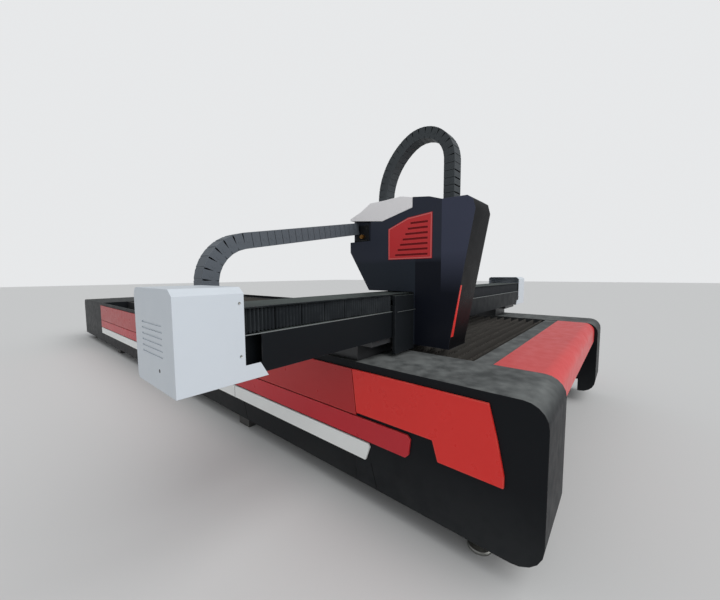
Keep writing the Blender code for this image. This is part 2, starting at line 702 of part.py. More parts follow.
def make_side_panels(bright, dark, white):
    """The raised coloured panels on the outside of both sides."""
    seam_low = slanted(PANEL_SEAM, FRONT_PANEL_STEP)
    front_panel = [
        (slanted(PANEL_SEAM, PANEL_TOP), PANEL_TOP),
        (FRONT_PANEL_NOSE, PANEL_TOP),
        (FRONT_PANEL_NOSE - FRONT_PANEL_CHEEK, FRONT_PANEL_CHEEK_Z),
        (FRONT_PANEL_NOSE - FRONT_PANEL_CHIN, FRONT_PANEL_CHIN_Z),
        (FRONT_PANEL_NOSE - FRONT_PANEL_CHIN, FRONT_PANEL_LOW),
        (FRONT_PANEL_STEP_Y - FRONT_PANEL_STEP_RUN, FRONT_PANEL_LOW),
        (FRONT_PANEL_STEP_Y, FRONT_PANEL_STEP),
        (seam_low, FRONT_PANEL_STEP),
    ]
    stripe_rear = REAR_CAP_FRONT - STRIPE_REAR_INSET
    upper = [
        (slanted(PANEL_SEAM, PANEL_TOP) + SEAM_GAP, PANEL_TOP),
        (slanted(PANEL_SEAM, UPPER_STRIPE_BOTTOM) + SEAM_GAP, UPPER_STRIPE_BOTTOM),
        (stripe_rear, UPPER_STRIPE_BOTTOM),
        (stripe_rear, PANEL_TOP),
    ]
    tip = STRIPE_TIP
    red = [
        (RED_STRIPE_FRONT + tip, RED_STRIPE_TOP),
        (RED_STRIPE_FRONT, RED_STRIPE_TOP - tip),
        (RED_STRIPE_FRONT + tip / 2, RED_STRIPE_BOTTOM + tip),
        (RED_STRIPE_FRONT + 1.5 * tip, RED_STRIPE_BOTTOM),
        (stripe_rear, RED_STRIPE_BOTTOM),
        (stripe_rear, RED_STRIPE_TOP),
    ]
    pale = [
        (WHITE_STRIPE_FRONT, WHITE_STRIPE_TOP),
        (WHITE_STRIPE_FRONT - tip / 2, WHITE_STRIPE_TOP - tip),
        (WHITE_STRIPE_FRONT + tip, WHITE_STRIPE_BOTTOM),
        (stripe_rear, WHITE_STRIPE_BOTTOM),
        (stripe_rear, WHITE_STRIPE_TOP),
    ]
    for side, side_name in ((-1, "near"), (1, "far")):
        across = sided(side, (SKIRT_OUTER + CLEARANCE, BED_HALF))
        part(f"{side_name}_front_panel", bright, [prism(front_panel, "x", *across)])
        part(f"{side_name}_upper_panel", dark, [prism(upper, "x", *across)])
        part(f"{side_name}_lower_stripe", dark, [prism(red, "x", *across)])
        part(f"{side_name}_white_stripe", white, [prism(pale, "x", *across)])


def make_end_covers_of_bed(red, frame_surface, rear_surface):
    """The red nose, the cross panel below it with the fume spigot, and the plain rear cover."""
    across = (-COVER_INNER + CLEARANCE, COVER_INNER - CLEARANCE)
    strip_front = TABLE_FRONT - FRONT_STRIP_WIDTH
    path = [(NOSE_FRONT, NOSE_BOTTOM)]
    path += arc(NOSE_FRONT + NOSE_RADIUS, COVER_TOP - NOSE_RADIUS, NOSE_RADIUS, 180, 90, 6)
    path.append((strip_front - CLEARANCE, COVER_TOP))
    nose = [prism(folded(path, -SHEET), "x", *across)]
    part("front_cover", red, nose, smooth=True)
    top = COVER_TOP - SHEET
    face = strip_front
    panel = [block(across, (face, TABLE_FRONT - CLEARANCE), (top - SHEET, top))]
    between = COVER_INNER - LEDGE - CLEARANCE
    panel.append(block((-between, between), (face, face + SHEET), (FRONT_PANEL_BOTTOM, top - SHEET / 2)))
    panel.append(rod("y", (SPIGOT_X, SPIGOT_Z), SPIGOT_RADIUS, face - SPIGOT_LENGTH, face + SHEET / 2))
    bore = rod("y", (SPIGOT_X, SPIGOT_Z), SPIGOT_RADIUS - SHEET, face - SPIGOT_LENGTH - PLATE, face + PLATE)
    part("front_panel", frame_surface, panel, [bore])
    rear = BED_REAR - CLEARANCE
    path = [(TABLE_REAR + CLEARANCE, COVER_TOP)]
    path += arc(rear - NOSE_RADIUS, COVER_TOP - NOSE_RADIUS, NOSE_RADIUS, 90, 0, 6)
    path.append((rear, REAR_COVER_BOTTOM))
    part("rear_cover", rear_surface, [prism(folded(path, -SHEET), "x", *across)], smooth=True)


def make_beam(surface, panel_surface, gantry):
    """The box-section beam with its roof strip and end flanges, and the folded panel below."""
    along = (BEAM_NEAR + CLEARANCE, BEAM_FAR - CLEARANCE)
    outline = [
        (BEAM_BOX_FRONT, BEAM_BOTTOM),
        (BEAM_BACK, BEAM_BOTTOM),
        (BEAM_BACK, BEAM_TOP),
        (BEAM_FRONT, BEAM_TOP),
        (BEAM_FRONT, BEAM_TOP - BEAM_ROOF),
        (BEAM_BOX_FRONT, BEAM_TOP - BEAM_ROOF),
    ]
    shapes = [prism(outline, "x", *along)]
    flange_heights = (LIP_TOP + CLEARANCE, BEAM_TOP - BEAM_ROOF / 2)
    flange_depth = (BEAM_FRONT + SHEET, BEAM_BOX_FRONT + SHEET)
    shapes.append(block((along[0], along[0] + BEAM_END_FLANGE), flange_depth, flange_heights))
    shapes.append(block((along[1] - BEAM_END_FLANGE, along[1]), flange_depth, flange_heights))
    hollow = block((along[0] - PLATE, along[1] + PLATE),
                   (BEAM_BOX_FRONT + BEAM_WALL, BEAM_BACK - BEAM_WALL),
                   (BEAM_BOTTOM + BEAM_WALL, BEAM_TOP - BEAM_WALL))
    part("beam", surface, shapes, [hollow], carrier=gantry)
    back = BEAM_BOX_FRONT - CLEARANCE
    path = [(back, LIP_TOP), (BEAM_FRONT, LIP_TOP), (BEAM_FRONT, BEAM_BOTTOM), (back, BEAM_BOTTOM)]
    lower = prism(folded(path, SHEET), "x", BEAM_NEAR + LOWER_PANEL_INSET, along[1])
    part("beam_lower_panel", panel_surface, [lower], carrier=gantry)


def end_cover_profile(inset):
    """The end cover seen along the beam, in (y, z), inset by a wall."""
    front = BEAM_FRONT - END_COVER_PROUD + inset
    rear = END_COVER_REAR - inset
    top = END_COVER_TOP - inset
    low = END_COVER_BOTTOM + inset
    radius = END_COVER_RADIUS - inset
    chamfer = END_COVER_RADIUS / 2
    outline = [(front, low), (rear - chamfer, low), (rear, low + chamfer), (rear, top - radius)]
    outline += arc(rear - radius, top - radius, radius, 0, 90, 3)[1:]
    outline.append((front + radius, top))
    return outline + [(front, END_COVER_CREASE - inset)]


def make_end_covers(surface, gantry):
    """The white covers on the beam's ends, with louvres and a tongue along the beam's foot."""
    front = BEAM_FRONT - END_COVER_PROUD
    ends = ((-1, "near", -BEAM_NEAR, NEAR_COVER_LENGTH), (1, "far", BEAM_FAR, FAR_COVER_LENGTH))
    for side, side_name, beam_end, length in ends:
        outer = beam_end + length
        shell = prism(end_cover_profile(0), "x", *sided(side, (beam_end, outer)))
        reach = beam_end - TONGUE_REACH
        strip = [(beam_end + SHEET, END_COVER_BOTTOM), (beam_end + SHEET, TONGUE_TOP),
                 (reach + TONGUE_SLANT, TONGUE_TOP), (reach, END_COVER_BOTTOM)]
        strip = [(side * x, z) for x, z in strip]
        tongue = prism(strip, "y", front, front + SHEET)
        sole = block(sided(side, (reach, beam_end + SHEET)), (front, BEAM_BACK),
                     (END_COVER_BOTTOM, END_COVER_BOTTOM + SHEET))
        hollow = prism(end_cover_profile(SHEET), "x", *sided(side, (beam_end - PLATE, outer - SHEET)))
        slots = []
        for index in range(END_LOUVRES):
            height = END_COVER_BOTTOM + END_LOUVRE_FIRST + index * END_LOUVRE_PITCH
            slots.append(block(sided(side, (outer - PLATE, outer + PLATE)),
                               (front + END_LOUVRE_FRONT, END_COVER_REAR - END_LOUVRE_REAR),
                               (height, height + END_LOUVRE_HEIGHT)))
        shell_name = f"{side_name}_end_cover"
        part(shell_name, surface, [shell, tongue, sole], [hollow] + slots, carrier=gantry)


def make_saddles(surface, gantry):
    """The two saddles that carry the beam on the Y rails, each with its two guide blocks."""
    rail_low = RAIL_BED_TOP + CLEARANCE
    rail_top = rail_low + Y_RAIL_HEIGHT
    block_top = rail_top + CLEARANCE + BLOCK_WALL
    base_top = block_top + SADDLE_BASE
    top = BEAM_BOTTOM - CLEARANCE
    rear = SADDLE_FRONT + SADDLE_LENGTH
    half_rail = Y_RAIL_WIDTH / 2 + CLEARANCE
    motor_y = y_motor_place()
    for side, side_name in ((-1, "near"), (1, "far")):
        wide = sided(side, (SADDLE_INNER, SADDLE_OUTER))
        shapes = [block(wide, (SADDLE_FRONT, rear), (block_top, base_top))]
        profile = [
            (SADDLE_FRONT, base_top - SHEET),
            (rear, base_top - SHEET),
            (rear, base_top + PLATE),
            (SADDLE_FRONT - SADDLE_TOP_FORWARD + SADDLE_TOP_LENGTH, top - SADDLE_TOP_PLATE / 2),
            (SADDLE_FRONT, top - SADDLE_TOP_PLATE / 2),
        ]
        for low in (SADDLE_INNER, SADDLE_OUTER - SADDLE_WEB):
            shapes.append(prism(profile, "x", *sided(side, (low, low + SADDLE_WEB))))
        front_web = (SADDLE_FRONT, SADDLE_FRONT + SADDLE_WEB)
        shapes.append(block(wide, front_web, (base_top - SHEET, top - SHEET)))
        top_run = (SADDLE_FRONT - SADDLE_TOP_FORWARD, SADDLE_FRONT - SADDLE_TOP_FORWARD + SADDLE_TOP_LENGTH)
        shapes.append(block(wide, top_run, (top - SADDLE_TOP_PLATE, top)))
        cuts = []
        for start in (SADDLE_FRONT, rear - BLOCK_LENGTH):
            reach = (start, start + BLOCK_LENGTH)
            across = (Y_RAIL_X - half_rail - BLOCK_WALL, Y_RAIL_X + half_rail + BLOCK_WALL)
            heights = (rail_low + Y_RAIL_HEIGHT / 3, block_top + SADDLE_BASE / 2)
            shapes.append(block(sided(side, across), reach, heights))
        groove = sided(side, (Y_RAIL_X - half_rail, Y_RAIL_X + half_rail))
        cuts.append(block(groove, (SADDLE_FRONT - PLATE, rear + PLATE), (rail_low, rail_top + CLEARANCE)))
        hole = (side * Y_PINION_X, motor_y)
        cuts.append(rod("z", hole, Y_SHAFT_RADIUS + CLEARANCE * 5, block_top - PLATE, base_top + PLATE))
        part(f"{side_name}_saddle", surface, shapes, cuts, carrier=gantry)


def y_motor_place():
    """Where the Y motors stand along the bed, with the gantry at its front stop."""
    return SADDLE_FRONT + Y_MOTOR_Y_OFFSET


def saddle_base_top():
    return RAIL_BED_TOP + Y_RAIL_HEIGHT + 2 * CLEARANCE + BLOCK_WALL + SADDLE_BASE


def gear_outline(centre, module, teeth):
    """A spur gear's outline with straight-sided teeth."""
    outer = module * (teeth / 2 + 1)
    root = module * (teeth / 2 - RACK_ROOT)
    step = 2 * math.pi / teeth
    points = []
    for tooth in range(teeth):
        middle = tooth * step
        corners = ((root, -TOOTH_ROOT), (outer, -TOOTH_TIP), (outer, TOOTH_TIP), (root, TOOTH_ROOT))
        for radius, offset in corners:
            angle = middle + offset * step
            points.append((centre[0] + radius * math.cos(angle), centre[1] + radius * math.sin(angle)))
    return points


def make_y_drives(motor_surface, gear_surface, gantry):
    """A servo motor with its gearbox on each saddle, and the pinion below it in the rack."""
    seat = saddle_base_top()
    place_y = y_motor_place()
    gear_low = RAIL_BED_TOP + 2 * CLEARANCE + SHEET
    half = Y_MOTOR_SIZE / 2
    for side, side_name in ((-1, "near"), (1, "far")):
        centre = (side * Y_PINION_X, place_y)
        gearbox_top = seat + Y_GEARBOX_HEIGHT
        across = (centre[0] - half, centre[0] + half)
        gearbox = block(across, (place_y - half, place_y + half), (seat + CLEARANCE, gearbox_top))
        motor = rod("z", centre, Y_MOTOR_RADIUS, gearbox_top - SHEET, seat + Y_MOTOR_HEIGHT, 20)
        part(f"{side_name}_y_motor", motor_surface, [gearbox, motor], carrier=gantry, smooth=True)
        gear_top = gear_low + Y_RACK_HEIGHT - SHEET
        gear = prism(gear_outline(centre, Y_MODULE, Y_TEETH), "z", gear_low, gear_top)
        shaft = rod("z", centre, Y_SHAFT_RADIUS, gear_low + SHEET, seat, 16)
        part(f"{side_name}_y_pinion", gear_surface, [gear, shaft],
             origin=(centre[0], centre[1], gear_low), carrier=gantry)


def make_x_guides(rail_surface, rack_surface, gantry):
    """The two X rails on the beam's face, and the rack between them with its teeth down."""
    back = BEAM_BOX_FRONT - CLEARANCE
    margin = BEAM_END_FLANGE + 2 * CLEARANCE
    along = (BEAM_NEAR + margin, BEAM_FAR - margin)
    for name, height in (("lower_x_rail", LOWER_X_RAIL_Z), ("upper_x_rail", UPPER_X_RAIL_Z)):
        heights = (height - X_RAIL_WIDTH / 2, height + X_RAIL_WIDTH / 2)
        part(name, rail_surface, [block(along, (X_RAIL_FRONT, back), heights)], carrier=gantry)
    heights = (X_RACK_ROOT_Z, X_RACK_ROOT_Z + X_RACK_HEIGHT)
    rack = block(along, (back - X_RACK_DEPTH, back), heights)
    part("x_rack", rack_surface, [rack], carrier=gantry)


def pleated(start, end):
    """A bellows from above, in (x, y): a zigzag wall with the same number of pleats at any length."""
    steps = 2 * PLEATS
    front, back = [], []
    for index in range(steps + 1):
        place = start + (end - start) * index / steps
        depth = BELLOWS_FRONT + (PLEAT_DEPTH if index % 2 == 0 else 0.0)
        front.append((place, depth))
        back.append((place, depth + PLEAT_WALL))
    return front + back[::-1]


def make_bellows(surface, gantry):
    """The two bellows that cover the rails, from the beam's ends to the carriage."""
    heights = (LIP_TOP + CLEARANCE, BEAM_TOP - BEAM_ROOF - CLEARANCE)
    margin = BEAM_END_FLANGE + 2 * CLEARANCE
    near = pleated(BEAM_NEAR + margin, PLATE_NEAR - CLEARANCE)
    far = pleated(PLATE_FAR + CLEARANCE, BEAM_FAR - margin)
    part("near_bellows", surface, [prism(near, "z", *heights)], carrier=gantry)
    part("far_bellows", surface, [prism(far, "z", *heights)], carrier=gantry)


def linked(path, height, groove):
    """The side view of a chain laid along a path: its links, with a shallow groove between them.

    The path is a list of (point, direction) pairs, one at each end of every link.
    """
    upper, lower = [], []
    for index, (place, along) in enumerate(path):
        side = Vector((-along.y, along.x))
        half = height / 2
        ends = (0.0,) if index in (0, len(path) - 1) else (-groove / 2, groove / 2)
        for shift in ends:
            upper.append(tuple(place + along * shift + side * half))
            lower.append(tuple(place + along * shift - side * half))
        if len(ends) == 2:
            for row, sign in ((upper, 1), (lower, -1)):
                row.insert(-1, tuple(place + side * sign * (half - groove / 2)))
    return upper + lower[::-1]


def walk(route, pitch):
    """Splits a route, given as a function from length to (point, direction), into equal links."""
    length, at = route
    count = max(1, round(length / pitch))
    return [at(length * index / count) for index in range(count + 1)]


def x_chain_route():
    """The X chain seen from the front, from its fixed end along the tray, round and back up."""
    floor = CHAIN_FLOOR + CHAIN_HEIGHT / 2
    lower = CHAIN_FIXED_X - CHAIN_BEND_X
    turn = math.pi - CHAIN_SLOPE
    bend = CHAIN_RADIUS * turn
    leave = Vector((CHAIN_BEND_X - CHAIN_RADIUS * math.sin(CHAIN_SLOPE),
                    CHAIN_BEND_Z + CHAIN_RADIUS * math.cos(CHAIN_SLOPE)))
    run = Vector((math.cos(CHAIN_SLOPE), math.sin(CHAIN_SLOPE)))
    end_x = HOUSING_NEAR + CABLE_NOTCH_DEPTH - CLEARANCE - CHAIN_HEIGHT / 2 * math.sin(CHAIN_SLOPE)
    upper = (end_x - leave.x) / run.x

    def at(length):
        if length <= lower:
            return Vector((CHAIN_FIXED_X - length, floor)), Vector((-1, 0))
        if length <= lower + bend:
            angle = (length - lower) / CHAIN_RADIUS
            place = Vector((CHAIN_BEND_X - CHAIN_RADIUS * math.sin(angle),
                            CHAIN_BEND_Z - CHAIN_RADIUS * math.cos(angle)))
            return place, Vector((-math.cos(angle), math.sin(angle)))
        return leave + run * (length - lower - bend), run

    return lower + bend + upper, at


def make_x_chain(tray_surface, chain_surface, gantry):
    """The tray behind the beam and the energy chain that lies and bends in it."""
    wide = (CHAIN_Y - CHAIN_WIDTH / 2 - 2 * TRAY_WALL, CHAIN_Y + CHAIN_WIDTH / 2 + 2 * TRAY_WALL)
    floor = CHAIN_FLOOR - CLEARANCE
    along = (CHAIN_BEND_X, CHAIN_FIXED_X + CHAIN_PITCH)
    base = floor - TRAY_WALL
    shapes = [block(along, wide, (base, floor))]
    for low, high in ((wide[0], wide[0] + TRAY_WALL), (wide[1] - TRAY_WALL, wide[1])):
        shapes.append(block(along, (low, high), (base, base + TRAY_SIDE)))
    arm_half = RIB_WIDTH / 4
    for index in range(TRAY_ARMS):
        place = along[0] + 2 * arm_half + (along[1] - along[0] - 4 * arm_half) * index / (TRAY_ARMS - 1)
        if index == 1:
            place += 2 * arm_half
        reach = (BEAM_BACK + CLEARANCE, wide[0] + TRAY_WALL)
        shapes.append(block((place - arm_half, place + arm_half), reach, (base - TRAY_WALL, floor)))
    part("x_chain_tray", tray_surface, shapes, carrier=gantry)
    outline = linked(walk(x_chain_route(), CHAIN_PITCH), CHAIN_HEIGHT, CHAIN_GROOVE)
    depth = (CHAIN_Y - CHAIN_WIDTH / 2, CHAIN_Y + CHAIN_WIDTH / 2)
    part("x_chain", chain_surface, [prism(outline, "y", *depth)], carrier=gantry)


def make_carriage_plate(surface, carriage):
    """The machined plate that runs on the X rails, with its four blocks and the Z rail."""
    near_inside = HOUSING_NEAR + SHEET + CLEARANCE
    far_inside = HOUSING_FAR - SHEET - CLEARANCE
    outline = [
        (PLATE_NEAR, CARRIAGE_PLATE_BOTTOM),
        (PLATE_FAR, CARRIAGE_PLATE_BOTTOM),
        (PLATE_FAR, CARRIAGE_PLATE_TOP),
        (far_inside, CARRIAGE_PLATE_TOP),
        (far_inside, CARRIAGE_PLATE_HEAD),
        (near_inside, CARRIAGE_PLATE_HEAD),
        (near_inside, CARRIAGE_PLATE_TOP),
        (PLATE_NEAR, CARRIAGE_PLATE_TOP),
    ]
    shapes = [prism(outline, "y", PLATE_FRONT, PLATE_BACK)]
    margin = X_BLOCK_MARGIN
    block_back = BEAM_BOX_FRONT - X_RAIL_HEIGHT / 2
    cuts = []
    for height in (LOWER_X_RAIL_Z, UPPER_X_RAIL_Z):
        heights = (height - X_RAIL_WIDTH / 2 - margin, height + X_RAIL_WIDTH / 2 + margin)
        for start in (PLATE_NEAR + margin, PLATE_FAR - margin - X_BLOCK_LENGTH):
            shapes.append(block((start, start + X_BLOCK_LENGTH), (PLATE_BACK - SHEET, block_back), heights))
        half = X_RAIL_WIDTH / 2 + CLEARANCE
        cuts.append(block((PLATE_NEAR - PLATE, PLATE_FAR + PLATE),
                          (X_RAIL_FRONT - CLEARANCE, BEAM_BOX_FRONT), (height - half, height + half)))
    rail = (HEAD_X - Z_RAIL_WIDTH / 2, HEAD_X + Z_RAIL_WIDTH / 2)
    rail_top = Z_SLIDE_TOP + Z_TRAVEL
    shapes.append(block(rail, (PLATE_FRONT - Z_RAIL_DEPTH, PLATE_FRONT + SHEET), (Z_SLIDE_BOTTOM, rail_top)))
    cuts.append(rod("y", (X_MOTOR_X, X_PINION_Z), X_SHAFT_RADIUS + 5 * CLEARANCE,
                    PLATE_FRONT - PLATE, PLATE_BACK + PLATE, 16))
    part("carriage_plate", surface, shapes, cuts, carrier=carriage)


def housing_profile(inset, low, back):
    """The housing from the side, in (y, z), with its wall inset. Its rear wraps over the beam."""
    lean = (HOUSING_HEAD_Z - HOUSING_BOTTOM) / (HOUSING_FRONT - HOUSING_HEAD_FRONT)
    slip = inset * math.hypot(1, lean) / lean
    front = HOUSING_FRONT + inset
    head = HOUSING_HEAD_FRONT + slip
    seam = CAP_SEAM + inset
    outline = [(front, low), (front, HOUSING_BOTTOM + HOUSING_TOE), (head, HOUSING_HEAD_Z)]
    for step in (1, 2):
        turn = math.radians(45 * step)
        outline.append((head + BROW_DEPTH * (1 - math.cos(turn)),
                        HOUSING_HEAD_Z + BROW_HEIGHT * math.sin(turn) - inset * step / 2))
    roof = HOUSING_HEAD_FRONT + ROOF_LENGTH
    outline += [(roof, ROOF_FRONT_Z - inset), (roof + ROOF_STEP_LENGTH, ROOF_STEP_Z - inset)]
    outline += [(CAP_FRONT_Y - seam, HOUSING_TOP - inset), (CAP_FRONT_Y - seam, CAP_FRONT_LOW - seam)]
    outline += [(CAP_DIP_Y, CAP_DIP_Z - seam), (HOUSING_REAR - inset, CAP_REAR_LOW - seam)]
    outline += [(HOUSING_REAR - inset, HOUSING_HEEL_Z), (HOUSING_KNEE_Y - inset / 2, HEAD_OVER_BEAM + inset)]
    return outline + [(back, HEAD_OVER_BEAM + inset), (back, low)]


def cap_underside(place):
    """The height of the white cap's lower edge at a place behind its dip."""
    share = (place - CAP_DIP_Y) / (HOUSING_REAR - CAP_DIP_Y)
    return CAP_DIP_Z + share * (CAP_REAR_LOW - CAP_DIP_Z)


def make_housing(surface, carriage):
    """The carriage's sheet housing, open below and where it meets the plate."""
    back = PLATE_FRONT - CLEARANCE
    across = (HOUSING_NEAR, HOUSING_FAR)
    shell = prism(housing_profile(0, HOUSING_BOTTOM, back), "x", *across)
    inner = (HOUSING_NEAR + SHEET, HOUSING_FAR - SHEET)
    wide_back = PLATE_BACK + CLEARANCE
    hollow = prism(housing_profile(SHEET, HOUSING_BOTTOM - PLATE, wide_back), "x", *inner)
    notch_x = HOUSING_NEAR + CABLE_NOTCH_DEPTH
    notch = block((HOUSING_NEAR - PLATE, notch_x), (CABLE_NOTCH_Y, HOUSING_REAR + PLATE),
                  (CABLE_NOTCH_Z, HOUSING_TOP))
    sheet_back = (notch_x, notch_x + SHEET)
    bracket = [(CABLE_NOTCH_Y, CABLE_NOTCH_Z - SHEET), (HOUSING_REAR, CABLE_NOTCH_Z - SHEET),
               (HOUSING_REAR, cap_underside(HOUSING_REAR) - SHEET),
               (CABLE_NOTCH_Y, cap_underside(CABLE_NOTCH_Y) - SHEET)]
    end_wall = prism(bracket, "x", *sheet_back)
    slot = block((ARCH_X - CHAIN_WIDTH / 2 - SHEET, ARCH_X + CHAIN_WIDTH / 2 + SHEET),
                 (ARCH_Y - ARCH_RADIUS - ARCH_THICKNESS / 2 - SHEET,
                  ARCH_Y - ARCH_RADIUS + ARCH_THICKNESS / 2 + SHEET),
                 (HOUSING_HEAD_Z + PLATE, HOUSING_TOP + PLATE))
    window = block((HOUSING_NEAR - PLATE, HOUSING_NEAR + PLATE),
                   (LOUVRE_FRONT + PLATE, LOUVRE_REAR - PLATE),
                   (LOUVRE_BOTTOM + PLATE, LOUVRE_TOP_REAR - PLATE))
    foot = block((HOUSING_NEAR - PLATE, HOUSING_FAR + PLATE), (back, HOUSING_REAR),
                 (HOUSING_BOTTOM - PLATE, HEAD_OVER_BEAM))
    part("housing", surface, [shell], [hollow, notch, slot, window, foot], [end_wall], carrier=carriage)


def housing_cap_profile(inset, drop):
    """The white cap from the side, in (y, z), with its wall inset and its open edge lowered."""
    front = CAP_FRONT_Y + inset
    rear = HOUSING_REAR - inset
    return [
        (front, CAP_FRONT_LOW - drop),
        (front, CAP_BROW_Z - inset),
        (CAP_FRONT_Y + CAP_BROW_LENGTH, CAP_CREST_Z - inset),
        (ARCH_REAR_Y - CAP_FLAT_HALF, CAP_FLAT_Z - inset),
        (ARCH_REAR_Y + CAP_FLAT_HALF, CAP_FLAT_Z - inset),
        (HOUSING_REAR - CAP_SHOULDER_LENGTH, CAP_SHOULDER_Z - inset),
        (rear, CAP_TIP_Z - inset),
        (rear, CAP_REAR_LOW - drop),
        (CAP_DIP_Y, CAP_DIP_Z - drop),
    ]


def make_housing_cap(surface, carriage):
    """The white cap over the housing's rear top, open below."""
    shell = prism(housing_cap_profile(0, 0), "x", HOUSING_NEAR, HOUSING_FAR)
    cavity = prism(housing_cap_profile(SHEET, PLATE), "x", HOUSING_NEAR + SHEET, HOUSING_FAR - SHEET)
    part("housing_cap", surface, [shell], [cavity], carrier=carriage)


def make_louvre_panel(surface, carriage):
    """The red panel on the near side, with slots that start along a slanted line."""
    outline = [(LOUVRE_FRONT, LOUVRE_BOTTOM), (LOUVRE_REAR, LOUVRE_BOTTOM),
               (LOUVRE_REAR, LOUVRE_TOP_REAR), (LOUVRE_BEND_Y, LOUVRE_BEND_Z), (LOUVRE_FRONT, LOUVRE_TOP)]
    outer = HOUSING_NEAR - CLEARANCE - SHEET
    panel = prism(outline, "x", outer, HOUSING_NEAR - CLEARANCE)
    slots = []
    pitch = (LOUVRE_TOP - LOUVRE_BOTTOM - LOUVRE_HEAD) / LOUVRE_SLOTS
    for index in range(LOUVRE_SLOTS):
        height = LOUVRE_BOTTOM + LOUVRE_FIRST + index * pitch
        rear = LOUVRE_REAR - LOUVRE_SLOT_REAR - index * LOUVRE_SLOT_STEP
        slots.append(block((outer - PLATE, outer + PLATE), (LOUVRE_FRONT + LOUVRE_SLOT_FRONT, rear),
                           (height, height + LOUVRE_SLOT_HEIGHT)))
    part("louvre_panel", surface, [panel], slots, carrier=carriage)


def make_corner_strip(surface, carriage):
    """The red strip along the housing's leaning front corner."""
    foot = HOUSING_BOTTOM + HOUSING_TOE
    lean = (HOUSING_FRONT - HOUSING_HEAD_FRONT) / (HOUSING_HEAD_Z - foot)

    def face(height):
        return HOUSING_FRONT - lean * (height - foot) - CLEARANCE

    outline = [(face(STRIP_BOTTOM), STRIP_BOTTOM), (face(STRIP_TOP), STRIP_TOP),
               (face(STRIP_TOP) - SHEET, STRIP_TOP), (face(STRIP_BOTTOM) - SHEET, STRIP_BOTTOM)]
    strip = prism(outline, "x", HOUSING_NEAR, HOUSING_NEAR + STRIP_WIDTH)
    slant = (STRIP_WIDTH - STRIP_TOP_WIDTH) / (STRIP_TOP - STRIP_BOTTOM)
    edge = HOUSING_NEAR + STRIP_WIDTH
    taper = [(edge + slant * PLATE, STRIP_BOTTOM - PLATE), (edge + PLATE, STRIP_BOTTOM - PLATE),
             (edge + PLATE, STRIP_TOP + PLATE), (HOUSING_NEAR + STRIP_TOP_WIDTH - slant * PLATE, STRIP_TOP + PLATE)]
    wedge = prism(taper, "y", HOUSING_HEAD_FRONT - PLATE, HOUSING_FRONT + PLATE)
    part("corner_strip", surface, [strip], [wedge], carrier=carriage)


def make_x_drive(motor_surface, gear_surface, carriage):
    """The X servo motor on the plate's front, and its pinion behind the plate."""
    half = X_MOTOR_SIZE / 2
    front = PLATE_FRONT - CLEARANCE - X_MOTOR_LENGTH
    body = block((X_MOTOR_X - half, X_MOTOR_X + half), (front, PLATE_FRONT - CLEARANCE),
                 (X_PINION_Z - half, X_PINION_Z + half))
    part("x_motor", motor_surface, [body], carrier=carriage)
    gear_back = BEAM_BOX_FRONT - 2 * CLEARANCE
    gear_front = gear_back - X_RACK_DEPTH
    centre = (X_MOTOR_X, X_PINION_Z)
    gear = prism(gear_outline(centre, X_MODULE, X_TEETH), "y", gear_front, gear_back)
    shaft = rod("y", centre, X_SHAFT_RADIUS, PLATE_FRONT, gear_front + SHEET, 12)
    part("x_pinion", gear_surface, [gear, shaft],
         origin=(X_MOTOR_X, gear_front, X_PINION_Z), carrier=carriage)


def arch_route():
    """The Z chain from the side, from the cap's top over and down to the slide's arm."""
    rear_low = CAP_FLAT_Z + CLEARANCE
    front_low = ARM_TOP + CLEARANCE
    rear_leg = ARCH_REAR_Z - rear_low
    front_leg = ARCH_Z - front_low
    wide_bend = REAR_ARCH_TURN * REAR_ARCH_RADIUS
    bends = wide_bend + (math.pi - REAR_ARCH_TURN) * ARCH_RADIUS

    def at(length):
        if length <= rear_leg:
            return Vector((ARCH_REAR_Y, rear_low + length)), Vector((0, 1))
        if length > rear_leg + bends:
            return Vector((ARCH_Y - ARCH_RADIUS, ARCH_Z - (length - rear_leg - bends))), Vector((0, -1))
        turned = length - rear_leg
        middle = Vector((ARCH_REAR_Y - REAR_ARCH_RADIUS, ARCH_REAR_Z))
        radius = REAR_ARCH_RADIUS
        angle = turned / radius
        if turned > wide_bend:
            middle = Vector((ARCH_Y, ARCH_Z))
            radius = ARCH_RADIUS
            angle = REAR_ARCH_TURN + (turned - wide_bend) / radius
        outward = Vector((math.cos(angle), math.sin(angle)))
        return middle + radius * outward, Vector((-outward.y, outward.x))

    return rear_leg + bends + front_leg, at


def make_z_chain(surface, carriage):
    """The energy chain that arches over the housing to the moving cutting head."""
    outline = linked(walk(arch_route(), ARCH_PITCH), ARCH_THICKNESS, CHAIN_GROOVE)
    across = (ARCH_X - CHAIN_WIDTH / 2, ARCH_X + CHAIN_WIDTH / 2)
    part("z_chain", surface, [prism(outline, "x", *across)], carrier=carriage)


def make_z_drive(motor_surface, screw_surface, carriage):
    """The Z motor on the plate's head, and the ball screw below it."""
    half = Z_MOTOR_SIZE / 2
    body = block((HEAD_X - half, HEAD_X + half), (SCREW_Y - half, PLATE_FRONT - CLEARANCE),
                 (Z_MOTOR_BOTTOM, Z_MOTOR_TOP))
    part("z_motor", motor_surface, [body], carrier=carriage)
    screw = rod("z", (HEAD_X, SCREW_Y), SCREW_RADIUS, Z_SLIDE_BOTTOM + PLATE, Z_MOTOR_BOTTOM - CLEARANCE, 16)
    part("z_screw", screw_surface, [screw], origin=(HEAD_X, SCREW_Y, Z_SLIDE_BOTTOM + PLATE),
         carrier=carriage, smooth=True)


